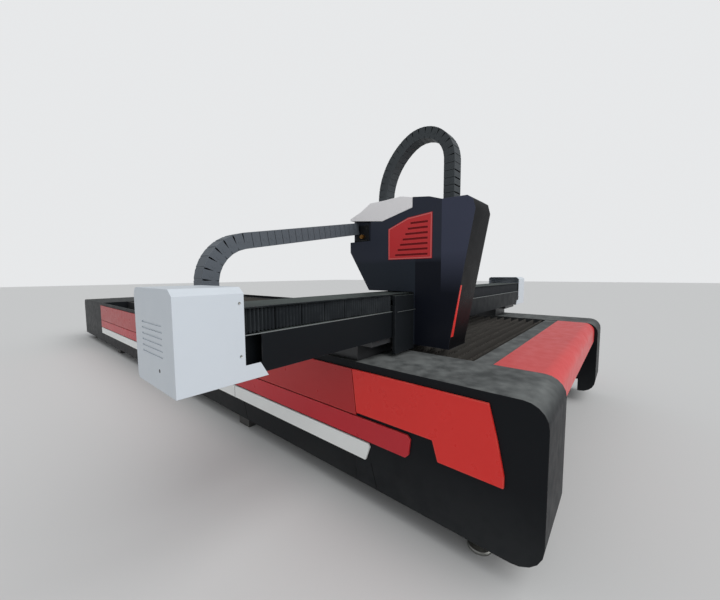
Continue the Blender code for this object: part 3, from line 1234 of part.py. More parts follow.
def make_z_slide(surface, z_body):
    """The block that runs on the Z rail, with the arm that holds the chain's moving end."""
    back = PLATE_FRONT - CLEARANCE
    front = back - Z_RAIL_DEPTH - Z_SLIDE_DEPTH
    half = Z_SLIDE_WIDTH / 2
    groove = Z_RAIL_WIDTH / 2 + CLEARANCE
    rail_face = PLATE_FRONT - Z_RAIL_DEPTH - CLEARANCE
    across = (HEAD_X - half, HEAD_X + half)
    shapes = [block(across, (front, back), (Z_SLIDE_BOTTOM, Z_SLIDE_TOP))]
    arm_front = ARCH_Y - ARCH_RADIUS - ARCH_THICKNESS / 2
    arm_x = (HEAD_X - half, HEAD_X - half + ARM_WIDTH / 2)
    arm_y = (front, front + ARM_WIDTH / 2)
    shapes.append(block(arm_x, arm_y, (Z_SLIDE_TOP - PLATE, ARM_TOP)))
    shapes.append(block((ARCH_X - CHAIN_WIDTH / 2, arm_x[1]), (arm_front, arm_y[1]),
                        (ARM_TOP - PLATE / 2, ARM_TOP)))
    through = (Z_SLIDE_BOTTOM - PLATE, Z_SLIDE_TOP + PLATE)
    cuts = [
        block((HEAD_X - groove, HEAD_X + groove), (rail_face, back + PLATE), through),
        rod("z", (HEAD_X, SCREW_Y), SCREW_RADIUS + CLEARANCE, *through, 16),
    ]
    part("z_slide", surface, shapes, cuts, carrier=z_body)
    return front


def make_cutting_head(surface, slide_front, z_body):
    """The cutting head: a square body over a round neck, a cone and the nozzle."""
    back = slide_front - CLEARANCE
    half = HEAD_SIZE / 2
    centre = back - half
    body = block((HEAD_X - half, HEAD_X + half), (back - HEAD_SIZE, back), (HEAD_BODY_LOW, HEAD_TOP))
    turned = bmesh.new()
    tip_radius, cone_radius, nut_radius, neck_radius = 0.006, 0.014, 0.022, 0.034
    cone_height, nut_height, neck_height = 0.022, 0.030, 0.070
    steps = ((tip_radius, NOZZLE_TIP), (cone_radius, NOZZLE_TIP + cone_height),
             (nut_radius, NOZZLE_TIP + nut_height), (neck_radius, NOZZLE_TIP + neck_height),
             (neck_radius, HEAD_BODY_LOW + PLATE))
    rings = []
    for radius, height in steps:
        ring = bmesh.ops.create_circle(turned, segments=20, radius=radius,
                                       matrix=Matrix.Translation((HEAD_X, centre, height)))["verts"]
        rings.append(ring)
    for low, high in zip(rings, rings[1:]):
        for index in range(len(low)):
            after = (index + 1) % len(low)
            turned.faces.new((low[index], low[after], high[after], high[index]))
    turned.faces.new(rings[0][::-1])
    turned.faces.new(rings[-1])
    bmesh.ops.recalc_face_normals(turned, faces=turned.faces)
    part("cutting_head", surface, [body, turned], carrier=z_body)


def build():
    """Makes the whole machine, body by body."""
    clear_scene()
    frame_paint = finish("frame paint", 60, 60, 62, 0.6, 0.2)
    steel = finish("ground steel", 150, 152, 155, 0.35, 0.9)
    zinc = finish("zinc plated steel", 120, 120, 118, 0.45, 0.8)
    slat_steel = finish("scorched slat steel", 92, 88, 82, 0.7, 0.6)
    charcoal = finish("charcoal sheet paint", 36, 38, 41, 0.5)
    dusty = finish("dusty grey paint", 84, 84, 82, 0.75)
    red = finish("red paint", 200, 45, 40, 0.4)
    deep_red = finish("deep red paint", 150, 40, 45, 0.4)
    white = finish("white paint", 215, 218, 222, 0.45)
    black_plastic = finish("black fabric", 28, 30, 32, 0.8)
    chain_plastic = finish("slate chain plastic", 75, 80, 95, 0.5)
    motor_black = finish("motor black", 26, 27, 30, 0.45)
    aluminium = finish("machined aluminium", 170, 172, 176, 0.4, 0.8)

    make_frame(frame_paint)
    make_feet(zinc)
    make_y_guides(steel, steel)
    make_slat_trays(slat_steel)
    make_end_covers_of_bed(red, dusty, charcoal)
    make_caps(dusty, charcoal)
    make_skirts(charcoal)
    make_side_panels(red, deep_red, white)

    gantry = carrier("gantry_carrier", (0, SADDLE_FRONT, BEAM_BOTTOM))
    make_beam(charcoal, charcoal, gantry)
    make_end_covers(white, gantry)
    make_saddles(frame_paint, gantry)
    make_y_drives(motor_black, steel, gantry)
    make_x_guides(steel, steel, gantry)
    make_bellows(black_plastic, gantry)
    make_x_chain(zinc, chain_plastic, gantry)

    carriage = carrier("carriage_carrier", (HEAD_X, PLATE_FRONT, X_PINION_Z), gantry)
    make_carriage_plate(aluminium, carriage)
    make_housing(charcoal, carriage)
    make_housing_cap(white, carriage)
    make_louvre_panel(red, carriage)
    make_corner_strip(red, carriage)
    make_x_drive(motor_black, steel, carriage)
    make_z_chain(chain_plastic, carriage)
    make_z_drive(motor_black, steel, carriage)

    z_body = carrier("z_carrier", (HEAD_X, PLATE_FRONT, Z_SLIDE_BOTTOM), carriage)
    slide_front = make_z_slide(aluminium, z_body)
    make_cutting_head(aluminium, slide_front, z_body)


build()
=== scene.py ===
import math

import bmesh
import bpy
from mathutils import Matrix, Vector


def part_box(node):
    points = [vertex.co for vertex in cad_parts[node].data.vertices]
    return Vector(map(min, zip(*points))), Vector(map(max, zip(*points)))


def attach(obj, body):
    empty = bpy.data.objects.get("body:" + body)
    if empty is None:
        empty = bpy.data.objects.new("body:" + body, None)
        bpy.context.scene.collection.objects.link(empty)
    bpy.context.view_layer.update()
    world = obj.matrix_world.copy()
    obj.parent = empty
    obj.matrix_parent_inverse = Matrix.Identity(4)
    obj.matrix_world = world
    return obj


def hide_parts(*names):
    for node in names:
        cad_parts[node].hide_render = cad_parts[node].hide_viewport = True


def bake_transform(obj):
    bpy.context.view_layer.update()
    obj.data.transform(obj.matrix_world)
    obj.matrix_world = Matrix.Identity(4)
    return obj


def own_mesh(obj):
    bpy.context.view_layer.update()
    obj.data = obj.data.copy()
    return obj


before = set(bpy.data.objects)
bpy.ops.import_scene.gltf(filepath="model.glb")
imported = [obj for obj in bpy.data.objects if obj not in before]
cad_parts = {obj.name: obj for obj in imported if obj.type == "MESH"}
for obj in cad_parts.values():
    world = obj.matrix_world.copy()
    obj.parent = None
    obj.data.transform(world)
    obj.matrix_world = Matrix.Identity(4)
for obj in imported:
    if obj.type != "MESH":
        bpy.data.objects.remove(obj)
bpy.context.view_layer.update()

# Camera
# It stands at chest height just in front of the bed, on its near side, with a wide-angle lens,
# and looks along the bed and across it.
heading = math.radians(49.779)
pitch = math.radians(-4.595)
roll = math.radians(0.289)
ahead = Vector((math.sin(heading) * math.cos(pitch), math.cos(heading) * math.cos(pitch), math.sin(pitch)))
level = Vector((math.cos(heading), -math.sin(heading), 0.0))
below = ahead.cross(level)
across = math.cos(roll) * level + math.sin(roll) * below
down = math.cos(roll) * below - math.sin(roll) * level
lens = bpy.data.cameras.new("camera")
lens.sensor_fit = "HORIZONTAL"
lens.sensor_width = 36.0
lens.lens = 15.74
lens.clip_end = 200.0
camera = bpy.data.objects.new("camera", lens)
bpy.context.scene.collection.objects.link(camera)
turned = Matrix((across, -down, -ahead)).transposed().to_4x4()
camera.matrix_world = Matrix.Translation((-2.908, -0.498, 1.356)) @ turned
bpy.context.scene.camera = camera

# Studio
# A pale floor and a pale surround, lit by an even sky and two wide, soft lamps.
# The stronger lamp stands before the bed, so that its front faces are the brightest.
bpy.context.scene.view_settings.view_transform = "Standard"


def tone(red, green, blue):
    """A colour as seen on a screen, 0 to 255, as the linear values that a shader takes."""
    return tuple(((value / 255 + 0.055) / 1.055) ** 2.4 for value in (red, green, blue)) + (1.0,)


def lamp(name, towards, strength, width):
    """A soft lamp far away, in a direction seen from the bed."""
    light = bpy.data.lights.new(name, "SUN")
    light.energy = strength
    light.angle = math.radians(width)
    holder = bpy.data.objects.new(name, light)
    bpy.context.scene.collection.objects.link(holder)
    holder.matrix_world = Vector(towards).to_track_quat("Z", "Y").to_matrix().to_4x4()


lamp("front_lamp", (0.10, -0.75, 0.80), 2.0, 55)
lamp("side_lamp", (-0.90, 0.10, 0.70), 0.25, 70)

world = bpy.data.worlds.new("studio")
bpy.context.scene.world = world
world.use_nodes = True
sky_tree = world.node_tree
sky_tree.nodes.clear()
sky = sky_tree.nodes.new("ShaderNodeBackground")
sky.inputs["Color"].default_value = (0.94, 0.97, 1.0, 1.0)
sky.inputs["Strength"].default_value = 0.46
surround = sky_tree.nodes.new("ShaderNodeBackground")
surround.inputs["Color"].default_value = (0.80, 0.81, 0.82, 1.0)
rays = sky_tree.nodes.new("ShaderNodeLightPath")
mixed = sky_tree.nodes.new("ShaderNodeMixShader")
sky_out = sky_tree.nodes.new("ShaderNodeOutputWorld")
sky_tree.links.new(rays.outputs["Is Camera Ray"], mixed.inputs["Fac"])
sky_tree.links.new(sky.outputs[0], mixed.inputs[1])
sky_tree.links.new(surround.outputs[0], mixed.inputs[2])
sky_tree.links.new(mixed.outputs[0], sky_out.inputs["Surface"])

ground_mesh = bmesh.new()
bmesh.ops.create_grid(ground_mesh, x_segments=1, y_segments=1, size=60.0)
ground_data = bpy.data.meshes.new("floor")
ground_mesh.to_mesh(ground_data)
ground_mesh.free()
ground = bpy.data.objects.new("floor", ground_data)
bpy.context.scene.collection.objects.link(ground)
floor_paint = bpy.data.materials.new("pale_floor")
floor_paint.use_nodes = True
floor_shader = floor_paint.node_tree.nodes["Principled BSDF"]
floor_shader.inputs["Base Color"].default_value = (0.60, 0.60, 0.595, 1.0)
floor_shader.inputs["Roughness"].default_value = 0.85
floor_shader.inputs["Specular IOR Level"].default_value = 0.2
ground_data.materials.append(floor_paint)

# Bed frame and feet
# A welded frame of box beams and plate in satin dark paint, standing on zinc-plated levelling feet:
# a round pad, a threaded stud and two locknuts each.


def group_with(name, numbers, colours, results):
    """An empty node group with its inputs and outputs, and its two end nodes."""
    group = bpy.data.node_groups.new(name, "ShaderNodeTree")
    for title, value in colours:
        socket = group.interface.new_socket(title, in_out="INPUT", socket_type="NodeSocketColor")
        socket.default_value = value
    for title, value in numbers:
        socket = group.interface.new_socket(title, in_out="INPUT", socket_type="NodeSocketFloat")
        socket.default_value = value
    for title, kind in results:
        group.interface.new_socket(title, in_out="OUTPUT", socket_type=kind)
    return group, group.nodes.new("NodeGroupInput"), group.nodes.new("NodeGroupOutput")


def noise(tree, coordinates, scale, detail):
    """Even noise of a scale in cells to the metre; gives its value's socket."""
    node = tree.nodes.new("ShaderNodeTexNoise")
    node.inputs["Scale"].default_value = scale
    node.inputs["Detail"].default_value = detail
    tree.links.new(coordinates, node.inputs["Vector"])
    return node.outputs["Fac"]


def ranged(tree, source, start, end, low, high):
    """source from start to end, spread over low to high and held there."""
    node = tree.nodes.new("ShaderNodeMapRange")
    tree.links.new(source, node.inputs["Value"])
    node.inputs["From Min"].default_value = start
    node.inputs["From Max"].default_value = end
    node.inputs["To Min"].default_value = low
    node.inputs["To Max"].default_value = high
    return node.outputs["Result"]


def reckoned(tree, operation, first, second):
    """A Math node on two sockets, or on a socket and a number."""
    node = tree.nodes.new("ShaderNodeMath")
    node.operation = operation
    tree.links.new(first, node.inputs[0])
    if isinstance(second, float):
        node.inputs[1].default_value = second
    else:
        tree.links.new(second, node.inputs[1])
    return node.outputs[0]


def tinted(tree, share, first, second):
    """The first colour turning into the second with share."""
    node = tree.nodes.new("ShaderNodeMix")
    node.data_type = "RGBA"
    tree.links.new(share, node.inputs["Factor"])
    tree.links.new(first, node.inputs["A"])
    tree.links.new(second, node.inputs["B"])
    return node.outputs["Result"]


def worn_skin_group():
    """Paint, plastic or metal with uneven tone, dust on its upper faces, dirt low down and rubbed edges."""
    group, given, result = group_with(
        "worn_skin",
        [("Roughness", 0.4), ("Unevenness", 0.1), ("Dust share", 0.3), ("Low dirt share", 0.0),
         ("Rubbed share", 0.2), ("Grain scale", 350.0), ("Edge width", 0.004)],
        [("Finish", (0.5, 0.5, 0.5, 1)), ("Dust", (0.3, 0.3, 0.3, 1)), ("Bare", (0.4, 0.4, 0.4, 1))],
        [("Colour", "NodeSocketColor"), ("Roughness", "NodeSocketFloat"), ("Height", "NodeSocketFloat")],
    )
    place = group.nodes.new("ShaderNodeTexCoord").outputs["Object"]
    facing = group.nodes.new("ShaderNodeNewGeometry")
    cloudy = noise(group, place, 1.7, 6.0)
    specks = noise(group, place, 14.0, 8.0)
    grain = group.nodes.new("ShaderNodeTexNoise")
    grain.inputs["Detail"].default_value = 2.0
    group.links.new(place, grain.inputs["Vector"])
    group.links.new(given.outputs["Grain scale"], grain.inputs["Scale"])

    uneven = reckoned(group, "MULTIPLY", reckoned(group, "SUBTRACT", cloudy, 0.5),
                      given.outputs["Unevenness"])
    uneven = reckoned(group, "ADD", reckoned(group, "MULTIPLY", uneven, 2.0), 1.0)
    shaded = group.nodes.new("ShaderNodeVectorMath")
    shaded.operation = "SCALE"
    group.links.new(given.outputs["Finish"], shaded.inputs[0])
    group.links.new(uneven, shaded.inputs["Scale"])

    parts = group.nodes.new("ShaderNodeSeparateXYZ")
    group.links.new(facing.outputs["Normal"], parts.inputs[0])
    upward = ranged(group, parts.outputs["Z"], 0.25, 0.95, 0.0, 1.0)
    patchy = ranged(group, reckoned(group, "ADD", cloudy, specks), 0.75, 1.2, 0.35, 1.0)
    settled = reckoned(group, "MULTIPLY", reckoned(group, "MULTIPLY", upward, patchy),
                       given.outputs["Dust share"])
    height = group.nodes.new("ShaderNodeSeparateXYZ")
    group.links.new(place, height.inputs[0])
    low_down = ranged(group, height.outputs["Z"], 0.45, 0.11, 0.0, 1.0)
    splashed = reckoned(group, "MULTIPLY", reckoned(group, "MULTIPLY", low_down, patchy),
                        given.outputs["Low dirt share"])
    dirt = reckoned(group, "MAXIMUM", settled, splashed)

    rounded = group.nodes.new("ShaderNodeBevel")
    rounded.samples = 4
    group.links.new(given.outputs["Edge width"], rounded.inputs["Radius"])
    meeting = group.nodes.new("ShaderNodeVectorMath")
    meeting.operation = "DOT_PRODUCT"
    group.links.new(rounded.outputs["Normal"], meeting.inputs[0])
    group.links.new(facing.outputs["Normal"], meeting.inputs[1])
    edge = ranged(group, meeting.outputs["Value"], 0.995, 0.90, 0.0, 1.0)
    nicked = ranged(group, specks, 0.42, 0.58, 0.15, 1.0)
    rubbed = reckoned(group, "MULTIPLY", reckoned(group, "MULTIPLY", edge, nicked),
                      given.outputs["Rubbed share"])

    dusty = tinted(group, dirt, shaded.outputs[0], given.outputs["Dust"])
    group.links.new(tinted(group, rubbed, dusty, given.outputs["Bare"]), result.inputs["Colour"])
    rough = reckoned(group, "ADD", given.outputs["Roughness"], reckoned(group, "MULTIPLY", dirt, 0.35))
    rough = reckoned(group, "ADD", rough, ranged(group, specks, 0.3, 0.7, -0.05, 0.06))
    group.links.new(rough, result.inputs["Roughness"])
    raised = reckoned(group, "ADD", grain.outputs["Fac"], reckoned(group, "MULTIPLY", specks, 0.4))
    group.links.new(raised, result.inputs["Height"])
    return group


worn_skin = worn_skin_group()
GREY_DUST = tone(112, 108, 100)


def coated(name, finish, roughness, dust=0.3, low_dirt=0.0, rubbed=0.25, bare=(150, 150, 150), uneven=0.12,
           metal=0.0, gloss=0.5, grain=350.0, relief=0.08, dust_tone=GREY_DUST, edge=0.004):
    """A material on the worn skin, with its own finish, roughness, dust and wear."""
    material = bpy.data.materials.new(name)
    material.use_nodes = True
    tree = material.node_tree
    shader = tree.nodes["Principled BSDF"]
    skin = tree.nodes.new("ShaderNodeGroup")
    skin.node_tree = worn_skin
    skin.inputs["Finish"].default_value = tone(*finish)
    skin.inputs["Dust"].default_value = dust_tone
    skin.inputs["Bare"].default_value = tone(*bare)
    skin.inputs["Roughness"].default_value = roughness
    skin.inputs["Unevenness"].default_value = uneven
    skin.inputs["Dust share"].default_value = dust
    skin.inputs["Low dirt share"].default_value = low_dirt
    skin.inputs["Rubbed share"].default_value = rubbed
    skin.inputs["Grain scale"].default_value = grain
    skin.inputs["Edge width"].default_value = edge
    bump = tree.nodes.new("ShaderNodeBump")
    bump.inputs["Strength"].default_value = relief
    bump.inputs["Distance"].default_value = 0.002
    tree.links.new(skin.outputs["Colour"], shader.inputs["Base Color"])
    tree.links.new(skin.outputs["Roughness"], shader.inputs["Roughness"])
    tree.links.new(skin.outputs["Height"], bump.inputs["Height"])
    tree.links.new(bump.outputs["Normal"], shader.inputs["Normal"])
    shader.inputs["Metallic"].default_value = metal
    shader.inputs["Specular IOR Level"].default_value = gloss
    return material


def dress(material, *nodes):
    """Gives CAD nodes whose shape is right their finish."""
    for node in nodes:
        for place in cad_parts[node].material_slots:
            place.material = material


def finished(mesh, name, materials, body, replaced=(), crease=32):
    """Makes a bmesh an object with even shading, which rides on a body and may stand for CAD nodes."""
    data = bpy.data.meshes.new(name)
    mesh.to_mesh(data)
    mesh.free()
    for material in materials:
        data.materials.append(material)
    data.shade_smooth()
    data.set_sharp_from_angle(angle=math.radians(crease))
    piece = bpy.data.objects.new(name, data)
    bpy.context.scene.collection.objects.link(piece)
    evened = piece.modifiers.new("even_shading", "WEIGHTED_NORMAL")
    evened.keep_sharp = True
    if replaced:
        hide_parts(*replaced)
    if body:
        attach(piece, body)
    return piece


def drum(mesh, place, axis, radius, length, segments=24, rounding=0.0):
    """A round bar whose middle is at place."""
    turn = Vector(axis).to_track_quat("Z", "Y").to_matrix().to_4x4()
    made = bmesh.ops.create_cone(mesh, cap_ends=True, segments=segments, radius1=radius, radius2=radius,
                                 depth=length, matrix=Matrix.Translation(place) @ turn)
    if rounding:
        rims = {edge for vert in made["verts"] for edge in vert.link_edges
                if len(edge.link_faces) == 2 and edge.calc_face_angle() > 1.0}
        bmesh.ops.bevel(mesh, geom=list(rims), affect="EDGES", offset=rounding, segments=2, profile=0.5,
                        material=-1)


def slab(mesh, low, high, rounding=0.0, segments=2):
    """A block between two corners with rounded edges."""
    low, high = Vector(low), Vector(high)
    middle = Matrix.Translation((low + high) / 2) @ Matrix.Diagonal((*(high - low), 1.0))
    made = bmesh.ops.create_cube(mesh, size=1.0, matrix=middle)
    if rounding:
        edges = {edge for vert in made["verts"] for edge in vert.link_edges}
        bmesh.ops.bevel(mesh, geom=list(edges), affect="EDGES", offset=rounding, segments=segments,
                        profile=0.5, material=-1)


def spun(mesh, middle, outline, steps):
    """An outline of reach and height, turned about the upright line through middle."""
    points = [mesh.verts.new((middle.x + reach, middle.y, height)) for reach, height in outline]
    edges = [mesh.edges.new(pair) for pair in zip(points, points[1:])]
    bmesh.ops.spin(mesh, geom=points + edges, cent=(middle.x, middle.y, 0), axis=(0, 0, 1), angle=math.tau,
                   steps=steps, use_merge=True)


def outward(mesh):
    """The mesh with its faces turned outwards."""
    bmesh.ops.recalc_face_normals(mesh, faces=mesh.faces)
    return mesh


frame_paint = coated("satin_frame_paint", (52, 53, 55), 0.45, dust=0.55, low_dirt=0.3)
zinc = coated("zinc_plate", (150, 150, 146), 0.42, dust=0.25, rubbed=0.1, metal=0.9, grain=90.0)
dress(frame_paint, "bed_frame")
STUD_LOW = 0.020
STUD_RADIUS = 0.016
NUT_RADIUS = 0.027
NUT_HEIGHT = 0.018
LOW_NUT_Z = 0.038
HIGH_NUT_DROP = 0.012
for foot in ("front_centre_foot", "near_front_foot", "near_rear_foot", "far_front_foot", "far_rear_foot"):
    low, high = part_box(foot)
    middle = (low + high) / 2
    mesh = bmesh.new()
    outline = [(0.0, 0.0), (0.060, 0.0), (0.060, 0.010), (0.056, 0.015), (0.026, 0.021), (0.022, 0.028),
               (0.0, 0.028)]
    spun(mesh, middle, outline, 32)
    bmesh.ops.remove_doubles(mesh, verts=mesh.verts, dist=0.00002)
    drum(mesh, (middle.x, middle.y, (STUD_LOW + high.z) / 2), (0, 0, 1), STUD_RADIUS, high.z - STUD_LOW, 20)
    for nut_z in (LOW_NUT_Z, high.z - HIGH_NUT_DROP):
        drum(mesh, (middle.x, middle.y, nut_z), (0, 0, 1), NUT_RADIUS, NUT_HEIGHT, 6, 0.002)
    finished(outward(mesh), foot + "_detail", [zinc], "bed", [foot])

# Y rails and racks
# Hardened guide rails with a ground crown and counterbored screw holes, and module 3 racks beside them,
# both screwed to the rail beds along the two sides.


def drawn_out(mesh, outline, along):
    """A closed outline made a face and drawn out along a vector."""
    face = mesh.faces.new([mesh.verts.new(point) for point in outline])
    made = bmesh.ops.extrude_face_region(mesh, geom=[face])
    moved = [item for item in made["geom"] if isinstance(item, bmesh.types.BMVert)]
    bmesh.ops.translate(mesh, verts=moved, vec=along)


def toothed_strip(mesh, placing, pitch, count, width, depth, thickness, steps):
    """A strip along x with a toothed upper edge: saw teeth of two steps each, or rack teeth of four."""
    made = bmesh.ops.create_grid(mesh, x_segments=count * steps, y_segments=1, size=0.5)
    for vert in made["verts"]:
        step = round((vert.co.x + 0.5) * count * steps)
        tip = (step + steps // 2) % steps < steps / 2 if steps == 4 else step % 2 == 1
        upper = width if tip else width - depth
        vert.co = Vector((step * pitch / steps, upper if vert.co.y > 0 else 0.0, 0.0))
    faces = list({face for vert in made["verts"] for face in vert.link_faces})
    drawn = bmesh.ops.extrude_face_region(mesh, geom=faces)
    moved = [item for item in drawn["geom"] if isinstance(item, bmesh.types.BMVert)]
    bmesh.ops.translate(mesh, verts=moved, vec=(0, 0, thickness))
    bmesh.ops.transform(mesh, matrix=placing, verts=list(set(made["verts"]) | set(moved)))


def paint_new(mesh, before, index):
    """Gives the faces made since before a material of their own."""
    mesh.faces.ensure_lookup_table()
    for face in mesh.faces[before:]:
        face.material_index = index


ground_steel = coated("ground_steel", (168, 170, 174), 0.26, dust=0.3, rubbed=0.0, metal=1.0, uneven=0.08,
                      grain=600.0)
hole_shade = coated("screw_hole_shade", (30, 30, 31), 0.6, dust=0.1, rubbed=0.0)
RAIL_HOLE_PITCH = 0.105
RAIL_HOLE_RADIUS = 0.0085
Y_TOOTH_DEPTH = 0.0066
Y_TOOTH_PITCH = math.pi * 0.003
for side, side_name in ((-1, "near"), (1, "far")):
    low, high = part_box(side_name + "_y_rail")
    width, tall, length = high.x - low.x, high.z - low.z, high.y - low.y
    mesh = bmesh.new()
    outline = [(0, 0), (width, 0), (width, 0.28 * tall), (width - 0.004, 0.45 * tall),
               (width - 0.004, 0.6 * tall), (width, 0.72 * tall), (width, tall - 0.002),
               (width - 0.002, tall), (0.002, tall), (0, tall - 0.002), (0, 0.72 * tall), (0.004, 0.6 * tall),
               (0.004, 0.45 * tall), (0, 0.28 * tall)]
    drawn_out(mesh, [(low.x + x, low.y, low.z + z) for x, z in outline], (0, length, 0))
    # Each counterbored screw hole is a thin dark disc on the crown: painted shade for the hole.
    for index in range(int(length / RAIL_HOLE_PITCH)):
        place = (low.x + width / 2, low.y + (index + 0.5) * RAIL_HOLE_PITCH, high.z)
        before = len(mesh.faces)
        drum(mesh, place, (0, 0, 1), RAIL_HOLE_RADIUS, 0.0006, 12)
        paint_new(mesh, before, 1)
    finished(outward(mesh), side_name + "_y_guide", [ground_steel, hole_shade], "bed",
             [side_name + "_y_rail"])

    low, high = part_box(side_name + "_y_rack")
    teeth = int((high.y - low.y) / Y_TOOTH_PITCH)
    outer = high.x if side > 0 else low.x
    placing = Matrix(((0, -side, 0, outer), (1, 0, 0, low.y), (0, 0, 1, low.z), (0, 0, 0, 1)))
    mesh = bmesh.new()
    toothed_strip(mesh, placing, Y_TOOTH_PITCH, teeth, high.x - low.x, Y_TOOTH_DEPTH, high.z - low.z, 4)
    finished(outward(mesh), side_name + "_y_rack_teeth", [ground_steel], "bed",
             [side_name + "_y_rack"])

# Slat trays
# Mild steel slats, laser-cut with a row of points that carry the sheet, dropped into notched side rails.
# They're scorched brown-grey and full of dust from the cutting.
slat_steel = coated("scorched_slats", (72, 69, 65), 0.62, dust=0.3, rubbed=0.25, bare=(135, 128, 118),
                    metal=0.35, uneven=0.35, grain=60.0, relief=0.3, dust_tone=tone(92, 88, 82))
SLATS = 22
SLAT_THICKNESS = 0.004
SLAT_LOW = 0.748
POINTS = 52
POINT_DEPTH = 0.020
SLAT_END_GAP = 0.020
TRAY_RAIL_WIDTH = 0.040
NOTCH_LOW = 0.040
NOTCH_HIGH = 0.065
HALF_NOTCH = 0.006
for tray in range(1, 5):
    low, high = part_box(f"slat_tray_{tray}")
    pitch_y = (high.y - low.y) / SLATS
    mesh = bmesh.new()
    reach = high.x - SLAT_END_GAP
    for index in range(SLATS):
        y = low.y + (index + 0.5) * pitch_y - SLAT_THICKNESS / 2
        placing = Matrix(((1, 0, 0, -reach), (0, 0, 1, y), (0, 1, 0, SLAT_LOW), (0, 0, 0, 1)))
        toothed_strip(mesh, placing, 2 * reach / POINTS, POINTS, high.z - SLAT_LOW, POINT_DEPTH,
                      SLAT_THICKNESS, 2)
    for side in (-1, 1):
        inner, outer = sorted((side * (high.x - TRAY_RAIL_WIDTH), side * high.x))
        notch_low, notch_high = low.z + NOTCH_LOW, low.z + NOTCH_HIGH
        slab(mesh, (inner, low.y, low.z), (outer, high.y, notch_low), 0.002)
        for index in range(SLATS):
            y = low.y + (index + 0.5) * pitch_y
            slab(mesh, (inner, y - pitch_y / 2 + 0.0001, notch_low), (outer, y - HALF_NOTCH, notch_high))
            slab(mesh, (inner, y + HALF_NOTCH, notch_low), (outer, y + pitch_y / 2 - 0.0001, notch_high))
    finished(outward(mesh), f"toothed_slats_{tray}", [slat_steel], "bed", [f"slat_tray_{tray}"])

# Caps and skirts
# Bent sheet over both sides of the bed, in satin charcoal paint. The front caps have rounded noses
# and carry a coat of grey cutting dust; the skirts lap in leaning joints.


def rounded_copy(node, radius, segments=3, room=4.0):
    """A CAD node's shape with merged triangles; edges whose faces are wider than room radii are rounded."""
    mesh = bmesh.new()
    mesh.from_mesh(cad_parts[node].data)
    bmesh.ops.remove_doubles(mesh, verts=mesh.verts, dist=0.00005)
    bmesh.ops.dissolve_limit(mesh, angle_limit=math.radians(0.6), verts=mesh.verts, edges=mesh.edges)
    broad = []
    for edge in mesh.edges:
        if len(edge.link_faces) != 2 or edge.calc_face_angle() < math.radians(28):
            continue
        if min(face.calc_area() for face in edge.link_faces) > room * radius * edge.calc_length():
            broad.append(edge)
    bmesh.ops.bevel(mesh, geom=broad, affect="EDGES", offset=radius, segments=segments, profile=0.5,
                    material=-1, clamp_overlap=True)
    return mesh


def redrawn(node, name, material, body, radius, segments=3, room=4.0, crease=32):
    """A CAD node drawn again in its place, with rounded edges."""
    finished(rounded_copy(node, radius, segments, room), name, [material], body, [node], crease)


charcoal = coated("charcoal_paint", (27, 29, 32), 0.40, dust=0.45, low_dirt=0.15, gloss=0.08,
                  bare=(100, 102, 105), dust_tone=tone(82, 83, 80))
dusty = coated("dusty_cap_paint", (27, 29, 32), 0.44, dust=0.95, low_dirt=0.1, gloss=0.08,
               bare=(115, 115, 112), dust_tone=tone(114, 117, 116))
for side_name in ("near", "far"):
    redrawn(side_name + "_front_cap", side_name + "_front_cap_sheet", dusty, "bed", 0.006)
    redrawn(side_name + "_rear_cap", side_name + "_rear_cap_sheet", charcoal, "bed", 0.006)
dress(charcoal, "near_skirt", "far_skirt", "rear_cover")
dress(dusty, "front_panel")

SKIRT_SEAMS = ((0.585, 0.543), (1.988, 1.933), (3.38, 3.325), (4.77, 4.715), (6.16, 6.105))
SKIRT_TOP = 0.262
SKIRT_LOW = 0.125
seam_dark = coated("seam_shadow", (14, 15, 16), 0.7, dust=0.1, rubbed=0.0, gloss=0.1)
for side, side_name in ((-1, "near"), (1, "far")):
    mesh = bmesh.new()
    face_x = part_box(side_name + "_skirt")[0 if side < 0 else 1].x
    for top_y, low_y in SKIRT_SEAMS:
        outline = [(face_x, top_y, SKIRT_TOP), (face_x, top_y + 0.004, SKIRT_TOP),
                   (face_x, low_y + 0.004, SKIRT_LOW), (face_x, low_y, SKIRT_LOW)]
        drawn_out(mesh, outline, (side * 0.0006, 0, 0))
    finished(outward(mesh), side_name + "_skirt_seams", [seam_dark], "bed")

# Coloured side panels
# Folded sheet panels with turned edges, screwed on from behind: bright red at the front,
# a deeper red behind it, and a red and a white stripe below.
bright_red = coated("bright_red_paint", (230, 42, 36), 0.30, dust=0.15, rubbed=0.5, bare=(235, 110, 95),
                    gloss=0.45, uneven=0.05, edge=0.010)
deep_red = coated("deep_red_paint", (182, 34, 37), 0.32, dust=0.15, rubbed=0.45, bare=(220, 95, 88),
                  gloss=0.4, uneven=0.06, edge=0.010)
stripe_red = coated("stripe_red_paint", (196, 34, 46), 0.32, dust=0.15, rubbed=0.45, bare=(225, 100, 95),
                    gloss=0.4, edge=0.008)
white_paint = coated("white_paint", (207, 214, 221), 0.34, dust=0.20, rubbed=0.10, bare=(180, 184, 188),
                     gloss=0.35, uneven=0.09, dust_tone=tone(172, 172, 170))
stripe_white = coated("stripe_white_paint", (242, 244, 242), 0.36, dust=0.15, rubbed=0.15,
                      bare=(200, 202, 200), gloss=0.35, uneven=0.1, dust_tone=tone(190, 190, 186))
for side_name in ("near", "far"):
    for node, look, slot in (("front_panel", bright_red, "red_paint"),
                             ("upper_panel", deep_red, "deep_red_paint"),
                             ("lower_stripe", stripe_red, "deep_red_paint"),
                             ("white_stripe", stripe_white, "white_paint")):
        whole = f"{side_name}_{node}"
        redrawn(whole, whole + "_sheet", look, "bed", 0.0035)

